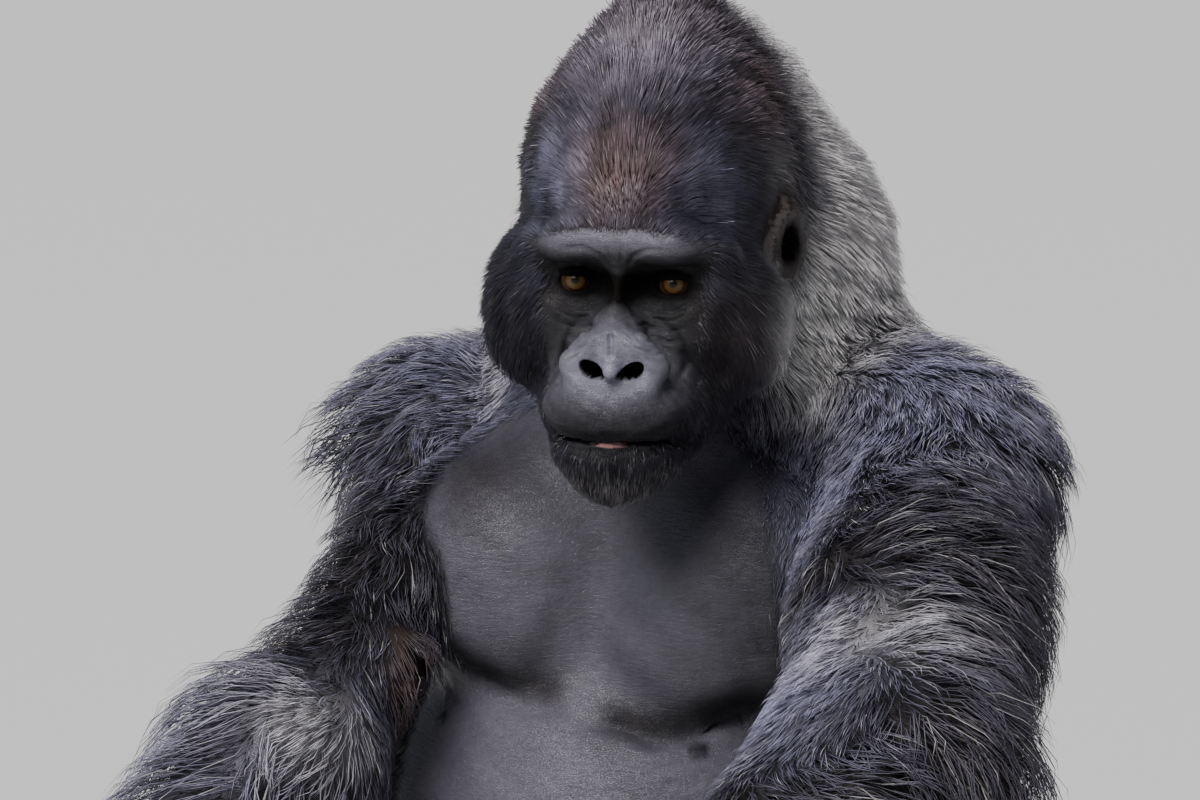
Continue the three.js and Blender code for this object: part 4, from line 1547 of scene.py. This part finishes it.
# %% Length, sway and lift of every tuft
LOOSE_SHARE = 0.07
TUFT_OF_SHOULDER = ((-250, -24, 706), (50, 64, 44))
lie, long, rise = groom(roots)
shorter = 1 - 0.45 * smooth(0.02, 0.7, soft_bareness(roots))
sway = ripple(roots, 58, 11) * 0.30 + ripple(roots, 21, 12) * 0.16 + rng.normal(0, 0.10, count)
sway *= smooth(8, 34, long)
long = long * shorter * (1 + 0.16 * ripple(roots, 34, 13)) * rng.uniform(0.72, 1.12, count)
lift = 1 + 0.30 * ripple(roots, 30, 14) + rng.uniform(-0.35, 0.15, count)
loose = rng.uniform(0, 1, count) < LOOSE_SHARE
lift[loose] *= 1.5
long[loose] *= 1.12
across = np.cross(root_normals, lie)
across /= np.maximum(np.linalg.norm(across, axis=1), 1e-6)[:, None]
along = np.cross(across, root_normals)
heading = along * np.cos(sway)[:, None] + across * np.sin(sway)[:, None]
standing = 1.4 * patch(roots, *TUFT_OF_SHOULDER) + 0.22 * loose * smooth(26, 50, long)
heading += root_normals * standing[:, None]
heading /= np.linalg.norm(heading, axis=1)[:, None]
curl = (ripple(roots, 26, 15) + rng.normal(0, 0.35, count)) * 0.16 * smooth(18, 50, long)
depth = coat_depth(roots)
sag = smooth(36, 70, long) * 0.25
print("tufts from", round(long.min()), "to", round(long.max()), "mm long")

# %% Course of every tuft


def course(t):
    """The middle line of every tuft a share t of the way to its tip, settled over the skin."""
    reach = long * t
    line = roots + heading * reach[:, None]
    line += across * (curl * long * math.sin(math.pi * (0.15 + 1.1 * t)))[:, None]
    line[:, 2] -= sag * reach * t
    wanted = rise * np.clip(lift, 0.25, 1.6) * (1 - (1 - t) ** 1.7)
    d, normal = slope(flesh, line, 1.5)
    line += normal * np.clip(wanted - depth - d, -14, 18 + rise)[:, None]
    return line, normal


STATIONS = (0.36, 0.72, 1.0)
courses = [course(t) for t in STATIONS]
print("courses", round(time.time() - STARTED, 1), "s")

# %% Locks
TUFTS_IN_A_LOCK = 11
guides = np.arange(0, count, TUFTS_IN_A_LOCK)
tree = KDTree(len(guides))
for index, guide in enumerate(guides):
    tree.insert(roots[guide], index)
tree.balance()
leader = np.array([guides[tree.find(root)[1]] for root in roots])
draw = 0.30 + 0.28 * smooth(24, 50, long)
lines = []
for t, (line, _) in zip(STATIONS, courses):
    pull = np.clip(draw * t ** 1.3, 0, 1)[:, None]
    lines.append(line + (line[leader] - line) * pull)
print("locks:", len(guides))

# %% [markdown]
# ## Pieces of the coat
# A coat of a hundred thousand tufts could be that many objects, or copies of one tuft. Both are
# slow or get lost on export, so every region of the body is one joined mesh of each length of
# hair, written at one go from arrays of points and faces.

# %% Colours and regions
dark, pale, pale_share = coat_colours(roots)
tone = 0.8 + 0.4 * rng.uniform(0, 1, count) + 0.3 * ripple(roots, 24, 16)
dark = dark * tone[:, None]
pale = pale * tone[:, None]
bleached = rng.uniform(0, 1, count) < pale_share * (1 + 0.8 * ripple(roots, 18, 17))
pale[bleached] = pale[bleached] * 0.5 + PALE * 0.5
dark[bleached] = dark[bleached] * 0.7 + PALE * 0.10
pick = np.array([form(roots) for form in PARTS.values()]).argmin(0)
part = np.array([name.split("_")[0] for name in PARTS])[pick]
side = np.where(roots[:, 0] > 0, "left", "right")
q = to_head(roots)
region = np.full(count, "coat_trunk", dtype=object)
region[(part == "torso") & (roots[:, 1] > 60)] = "coat_back"
region[(part == "torso") & (roots[:, 2] > 760)] = "coat_neck"
region[(part == "head") & (q[:, 2] > 30)] = "coat_crown"
region[(part == "head") & (q[:, 2] <= 30)] = "coat_cheeks"
for name in ("left", "right"):
    arm = ((part == "arm") | (part == "hand")) & (side == name)
    upper = roots[:, 2] > LIMBS[name]["elbow"][2] + 40
    region[arm & upper] = "coat_upper_arm_" + name
    region[arm & ~upper] = "coat_forearm_" + name
    region[((part == "leg") | (part == "foot")) & (side == name)] = "coat_leg_" + name
SLOTS = {"coat_crown": "crown", "coat_back": "silver", "coat_neck": "silver"}
print("regions of the coat:", len(set(region)))

# %% Build the tufts
PATCH = 0.003
PIECE_LIMIT = 190_000
ROOT_DEPTH = 0.8
LOWEST = 0.4


def tuft_faces(rings):
    faces = [(2, 1, 0)]
    for ring in range(rings - 1):
        a, b = 3 * ring, 3 * ring + 3
        for i in range(3):
            j = (i + 1) % 3
            faces += [(a + i, a + j, b + j), (a + i, b + j, b + i)]
    last = 3 * rings - 3
    tip = 3 * rings
    return faces + [(last + i, last + (i + 1) % 3, tip) for i in range(3)]


def build_coat(name, chosen, stations, widths):
    """One joined mesh of closed spindles: a cap at the root, rings of three, and a tip."""
    rings = len(widths)
    centres = [roots[chosen] - root_normals[chosen] * ROOT_DEPTH]
    centres += [lines[k][chosen] for k in stations]
    ups = [root_normals[chosen]] + [courses[k][1][chosen] for k in stations]
    breadth = hair_width(long[chosen])
    corners = []
    for ring in range(rings):
        ahead_of = centres[ring + 1] - centres[ring]
        beside = np.cross(ahead_of, ups[ring])
        beside /= np.maximum(np.linalg.norm(beside, axis=1), 1e-6)[:, None]
        half = (breadth * widths[ring] / 2)[:, None]
        corners += [
            centres[ring] - beside * half - ups[ring] * half * 0.3,
            centres[ring] + beside * half - ups[ring] * half * 0.3,
            centres[ring] + ups[ring] * half * 0.7,
        ]
    corners.append(centres[-1])
    points = np.stack(corners, axis=1)
    points[:, :, 2] = np.maximum(points[:, :, 2], LOWEST)
    n, per = points.shape[:2]
    faces = np.array(tuft_faces(rings))
    indices = (np.arange(n)[:, None, None] * per + faces).reshape(-1)
    mesh = bpy.data.meshes.new(name)
    mesh.vertices.add(n * per)
    mesh.vertices.foreach_set("co", to_frame(points.reshape(-1, 3)).ravel())
    mesh.loops.add(len(indices))
    mesh.loops.foreach_set("vertex_index", indices)
    mesh.polygons.add(len(indices) // 3)
    mesh.polygons.foreach_set("loop_start", np.arange(0, len(indices), 3))
    smooth_faces(mesh)
    spots = [(x, ring / rings) for ring in range(rings) for x in (0, 1, 0.5)]
    spots = np.array(spots + [(0.5, 1)])
    spread = root_uv[chosen][:, None] + (spots - 0.5) * PATCH
    layer = mesh.uv_layers.new(name="OFBake")
    layer.data.foreach_set("uv", spread.reshape(-1, 2)[indices].ravel())
    mesh.update(calc_edges=True)
    piece = bpy.data.objects.new(name, mesh)
    bpy.context.scene.collection.objects.link(piece)
    blend_at = np.array([0] * 3 + [STATIONS[k] for k in stations[:-1] for _ in range(3)] + [1.0])
    blend_at = (blend_at ** 1.4)[None, :, None]
    colours = dark[chosen][:, None] * (1 - blend_at) + pale[chosen][:, None] * blend_at
    paint(piece, colours.reshape(-1, 3))
    slot = next((v for k, v in SLOTS.items() if name.startswith(k)), "coat")
    mesh.materials.append(HAIR[slot])
    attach(piece, "root")
    return len(indices) // 3


# %% Every piece of the coat
KINDS = (
    ("", MEDIUM, math.inf, (0, 1, 2), (0.75, 1.0, 0.62), TUFT_TRIANGLES[2]),
    ("_medium", SHORT, MEDIUM, (1, 2), (0.85, 0.85), TUFT_TRIANGLES[1]),
    ("_short", 0, SHORT, (2,), (1.1,), TUFT_TRIANGLES[0]),
)
total = 0
for name in sorted(set(region)):
    for kind, low, high, stations, widths, per in KINDS:
        members = np.flatnonzero((region == name) & (long >= low) & (long < high))
        if not len(members):
            continue
        members = members[np.argsort(roots[members, 2])]
        parts = int(np.ceil(len(members) * per / PIECE_LIMIT))
        for number, group in enumerate(np.array_split(members, parts)):
            label = name + kind + (f"_{number + 1}" if parts > 1 else "")
            made = build_coat(label, group, stations, widths)
            total += made
            print(label, made, "triangles")
print("coat:", total, "triangles", round(time.time() - STARTED, 1), "s")

# %% [markdown]
# ## Eyes
# Each eyeball is a fine sphere with a slight swelling where the clear cornea covers the iris.
# A Mapping node turns the pattern to the direction in which the eye looks. The iris is amber
# with fine fibres and a dark edge, and the ball round it is brown, as in most gorillas. An
# image of an iris would be quicker, but rings and spokes of noise stay sharp at any distance.

# %% Where the eyes look
GAZE = to_head(np.array([EYE_POINT - ahead * 1000]))[0]
GAZE = HEAD_TURN @ (GAZE / np.linalg.norm(GAZE) * 0.75 + np.array([-0.02, -0.25, 0.02]))
GAZE /= np.linalg.norm(GAZE)
print("eyes look towards", np.round(GAZE, 2))

# %% The iris
# Pupil, iris, its dark edge and the brown of the ball, by their share of the eye's radius.
IRIS_RINGS = (
    (0.0, (0.001, 0.001, 0.001)), (0.21, (0.001, 0.001, 0.001)),
    (0.24, (0.020, 0.009, 0.003)), (0.34, (0.080, 0.046, 0.015)),
    (0.54, (0.072, 0.038, 0.012)), (0.62, (0.030, 0.014, 0.006)),
    (0.70, (0.010, 0.006, 0.004)), (0.80, (0.050, 0.026, 0.013)),
    (1.0, (0.012, 0.007, 0.005)),
)


def eye_material(name, centre):
    material, nodes, links, shader = new_material(name)
    place = nodes.new("ShaderNodeTexCoord").outputs["Object"]
    turn = Vector(GAZE).to_track_quat("Z", "Y").to_euler()
    centred = node(
        nodes, "ShaderNodeMapping", vector_type="TEXTURE",
        Location=centre, Rotation=turn, Scale=(0.001, 0.001, 0.001),
    )
    links.new(place, centred.inputs["Vector"])
    flat = node(nodes, "ShaderNodeVectorMath", operation="MULTIPLY")
    flat.inputs[1].default_value = (1, 1, 0)
    links.new(centred.outputs["Vector"], flat.inputs[0])
    radius = node(nodes, "ShaderNodeVectorMath", operation="LENGTH")
    links.new(flat.outputs["Vector"], radius.inputs[0])
    spoke = node(nodes, "ShaderNodeVectorMath", operation="NORMALIZE")
    links.new(flat.outputs["Vector"], spoke.inputs[0])
    fibres = node(nodes, "ShaderNodeTexNoise", Scale=9.0, Detail=5.0, Roughness=0.7)
    links.new(spoke.outputs["Vector"], fibres.inputs["Vector"])
    wander = math_node(nodes, links, "MULTIPLY_ADD", fibres.outputs["Fac"], 0.9, -0.45)
    reach = math_node(nodes, links, "ADD", radius.outputs["Value"], wander)
    reach = math_node(nodes, links, "DIVIDE", reach, EYE_RADIUS)
    ramp = nodes.new("ShaderNodeValToRGB")
    while len(ramp.color_ramp.elements) < len(IRIS_RINGS):
        ramp.color_ramp.elements.new(0.5)
    for element, (position, colour) in zip(ramp.color_ramp.elements, IRIS_RINGS):
        element.position = position
        element.color = (*colour, 1)
    links.new(reach, ramp.inputs["Fac"])
    links.new(ramp.outputs["Color"], shader.inputs["Base Color"])
    shader.inputs["Roughness"].default_value = 0.35
    shader.inputs["Specular IOR Level"].default_value = 0.12
    shader.inputs["Coat Weight"].default_value = 0.2
    shader.inputs["Coat Roughness"].default_value = 0.04
    return material


print("iris and ball:", len(IRIS_RINGS), "rings of colour")

# %% Eyeballs
CORNEA_ANGLE = 0.60
CORNEA_RISE = 0.9
ROOM_UNDER_LIDS = 0.15
for label in ("eye_left", "eye_right"):
    centre = eye_box_centre(label)
    bpy.ops.object.select_all(action="DESELECT")
    bpy.ops.mesh.primitive_uv_sphere_add(segments=64, ring_count=40, radius=EYE_RADIUS / 1000)
    eyeball = bpy.context.object
    eyeball.name = label.replace("eye", "eyeball")
    points = np.array([v.co for v in eyeball.data.vertices])
    ways = points / np.linalg.norm(points, axis=1)[:, None]
    angle = np.arccos(np.clip(ways @ GAZE, -1, 1))
    swell = np.clip(1 - (angle / CORNEA_ANGLE) ** 2, 0, 1) ** 2 * CORNEA_RISE
    points = centre + ways * ((EYE_RADIUS - ROOM_UNDER_LIDS + swell) / 1000)[:, None]
    eyeball.data.vertices.foreach_set("co", points.ravel())
    smooth_faces(eyeball.data)
    eyeball.data.update()
    eyeball.data.materials.append(eye_material(eyeball.name, centre))
    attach(eyeball, "root")
    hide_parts(label)
    print(eyeball.name, "at", np.round(centre, 3))

# %% [markdown]
# ## Nails
# Fingers and toes end in flat, dark, slightly arched nails, each on the upper side of the last
# bone. A nail could be cut out of the fingertip, but a thin plate of its own keeps the skin
# whole and can be given a harder gloss.

# %% Shape of a nail
NAIL_THICKNESS = 1.3


def nail(tip, before, outward, size):
    """A small arched plate at the end of a digit: points in the animal's frame, and faces."""
    forward = (tip - before) / np.linalg.norm(tip - before)
    outward = outward - (outward @ forward) * forward
    outward /= np.linalg.norm(outward)
    beside = np.cross(forward, outward)
    rows, columns = 5, 7
    grid = []
    for layer in (0.0, 1.0):
        for i in range(rows):
            v = i / (rows - 1)
            half = 0.72 * size * math.sqrt(max(1 - (v * 0.86) ** 4, 0.05))
            for j in range(columns):
                u = 2 * j / (columns - 1) - 1
                arch = size * (0.98 - 0.42 * u * u - 0.10 * v) + (layer - 0.5) * NAIL_THICKNESS
                along = forward * size * (0.95 * v - 0.25)
                grid.append(tip + along + beside * half * u + outward * arch)
    faces = []
    for layer in range(2):
        for i in range(rows - 1):
            for j in range(columns - 1):
                a = layer * rows * columns + i * columns + j
                quad = (a, a + 1, a + columns + 1, a + columns)
                faces.append(quad if layer else quad[::-1])
    edge = list(range(columns))
    edge += [i * columns + columns - 1 for i in range(1, rows)]
    edge += [(rows - 1) * columns + j for j in range(columns - 2, -1, -1)]
    edge += [i * columns for i in range(rows - 2, 0, -1)]
    top = rows * columns
    for k, a in enumerate(edge):
        b = edge[(k + 1) % len(edge)]
        faces.append((a, b, b + top, a + top))
    return grid, faces


# %% Set the nails on the digits
nail_points, nail_faces = [], []


def add_nail(turn, place, bones, outward, size):
    tip, before = (posed_point(turn, place, bone) for bone in (bones[-1], bones[-2]))
    grid, faces = nail(tip, before, turn @ np.array(outward, float), size)
    nail_faces.extend(tuple(len(nail_points) + i for i in face) for face in faces)
    nail_points.extend(grid)


for limb in LIMBS.values():
    s = limb["side"]
    for i in range(4):
        add_nail(hand_turn(limb), limb["wrist"], finger_bones(limb, i), (0, -1, -0.2), 11.0)
        add_nail(foot_turn(limb), foot_place(limb), toe_bones(limb, i), (0, -0.3, 1), 10.6)
    add_nail(hand_turn(limb), limb["wrist"], thumb_bones(limb), (-s * 0.4, -1, 0), 9.6)
    add_nail(foot_turn(limb), foot_place(limb), great_toe_bones(limb), (0, -0.3, 1), 13.0)
mesh = bpy.data.meshes.new("nails")
mesh.from_pydata([tuple(v) for v in to_frame(np.array(nail_points))], [], nail_faces)
nails = bpy.data.objects.new("nails", mesh)
bpy.context.scene.collection.objects.link(nails)
select_only(nails)
bpy.ops.object.mode_set(mode="EDIT")
bpy.ops.mesh.select_all(action="SELECT")
bpy.ops.mesh.normals_make_consistent(inside=False)
bpy.ops.object.mode_set(mode="OBJECT")
smooth_faces(mesh)
print("nails:", len(nail_faces), "faces")

# %% Horn
horn, nodes, links, shader = new_material("nail")
place = nodes.new("ShaderNodeTexCoord").outputs["Object"]
streaks = node(nodes, "ShaderNodeTexNoise", Scale=380.0, Detail=3.0)
links.new(place, streaks.inputs["Vector"])
ramp = nodes.new("ShaderNodeValToRGB")
ramp.color_ramp.elements[0].color = (0.012, 0.010, 0.010, 1)
ramp.color_ramp.elements[1].color = (0.055, 0.048, 0.046, 1)
links.new(streaks.outputs["Fac"], ramp.inputs["Fac"])
links.new(ramp.outputs["Color"], shader.inputs["Base Color"])
bump = node(nodes, "ShaderNodeBump", Strength=0.3, Distance=0.0004)
links.new(streaks.outputs["Fac"], bump.inputs["Height"])
links.new(bump.outputs["Normal"], shader.inputs["Normal"])
shader.inputs["Roughness"].default_value = 0.3
mesh.materials.append(horn)
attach(nails, "root")
print("horn:", len(nodes), "nodes")

# %% [markdown]
# ## Floor and light
# The model stands on a plain pale floor. One broad light from high in front works like a cloudy
# sky, and a weak cool softbox lifts the face out of the shadow of its bar. A ring of lamps
# would be more even, but the deep eye sockets need one clear direction.

# %% Floor
bpy.ops.object.select_all(action="DESELECT")
bpy.ops.mesh.primitive_plane_add(size=60)
floor = bpy.context.object
floor.name = "floor"
paper, nodes, links, shader = new_material("floor")
shader.inputs["Base Color"].default_value = (0.5, 0.5, 0.5, 1)
floor.data.materials.append(paper)
print("floor:", round(floor.dimensions.x), "m wide")

# %% Light


def lamp(name, kind, place, way, power, colour):
    """A lamp at a place that shines against a way, which is where its light comes from."""
    bpy.ops.object.light_add(type=kind, location=place)
    made = bpy.context.object
    made.name = name
    made.data.energy = power
    made.data.color = colour
    made.rotation_mode = "QUATERNION"
    made.rotation_quaternion = way.to_track_quat("Z", "Y")
    return made.data


from_high = Vector((-0.16, -0.74, 1.0))
overhead = lamp("overhead", "SUN", (-1.5, -1.5, 4), from_high, 7.0, (1.0, 0.98, 0.95))
overhead.angle = 0.75
SOFTBOX_PLACE = (-2.2, -3.6, 2.4)
BREAST_HEIGHT = (0, 0, 0.7)
way = Vector(SOFTBOX_PLACE) - Vector(BREAST_HEIGHT)
front = lamp("front", "AREA", SOFTBOX_PLACE, way, 22, (0.92, 0.96, 1.0))
front.size = 1.6
world = bpy.data.worlds.new("studio")
bpy.context.scene.world = world
world.use_nodes = True
background = world.node_tree.nodes["Background"]
background.inputs["Color"].default_value = (0.72, 0.82, 1.0, 1)
background.inputs["Strength"].default_value = 0.19
print("lamps: overhead and front")
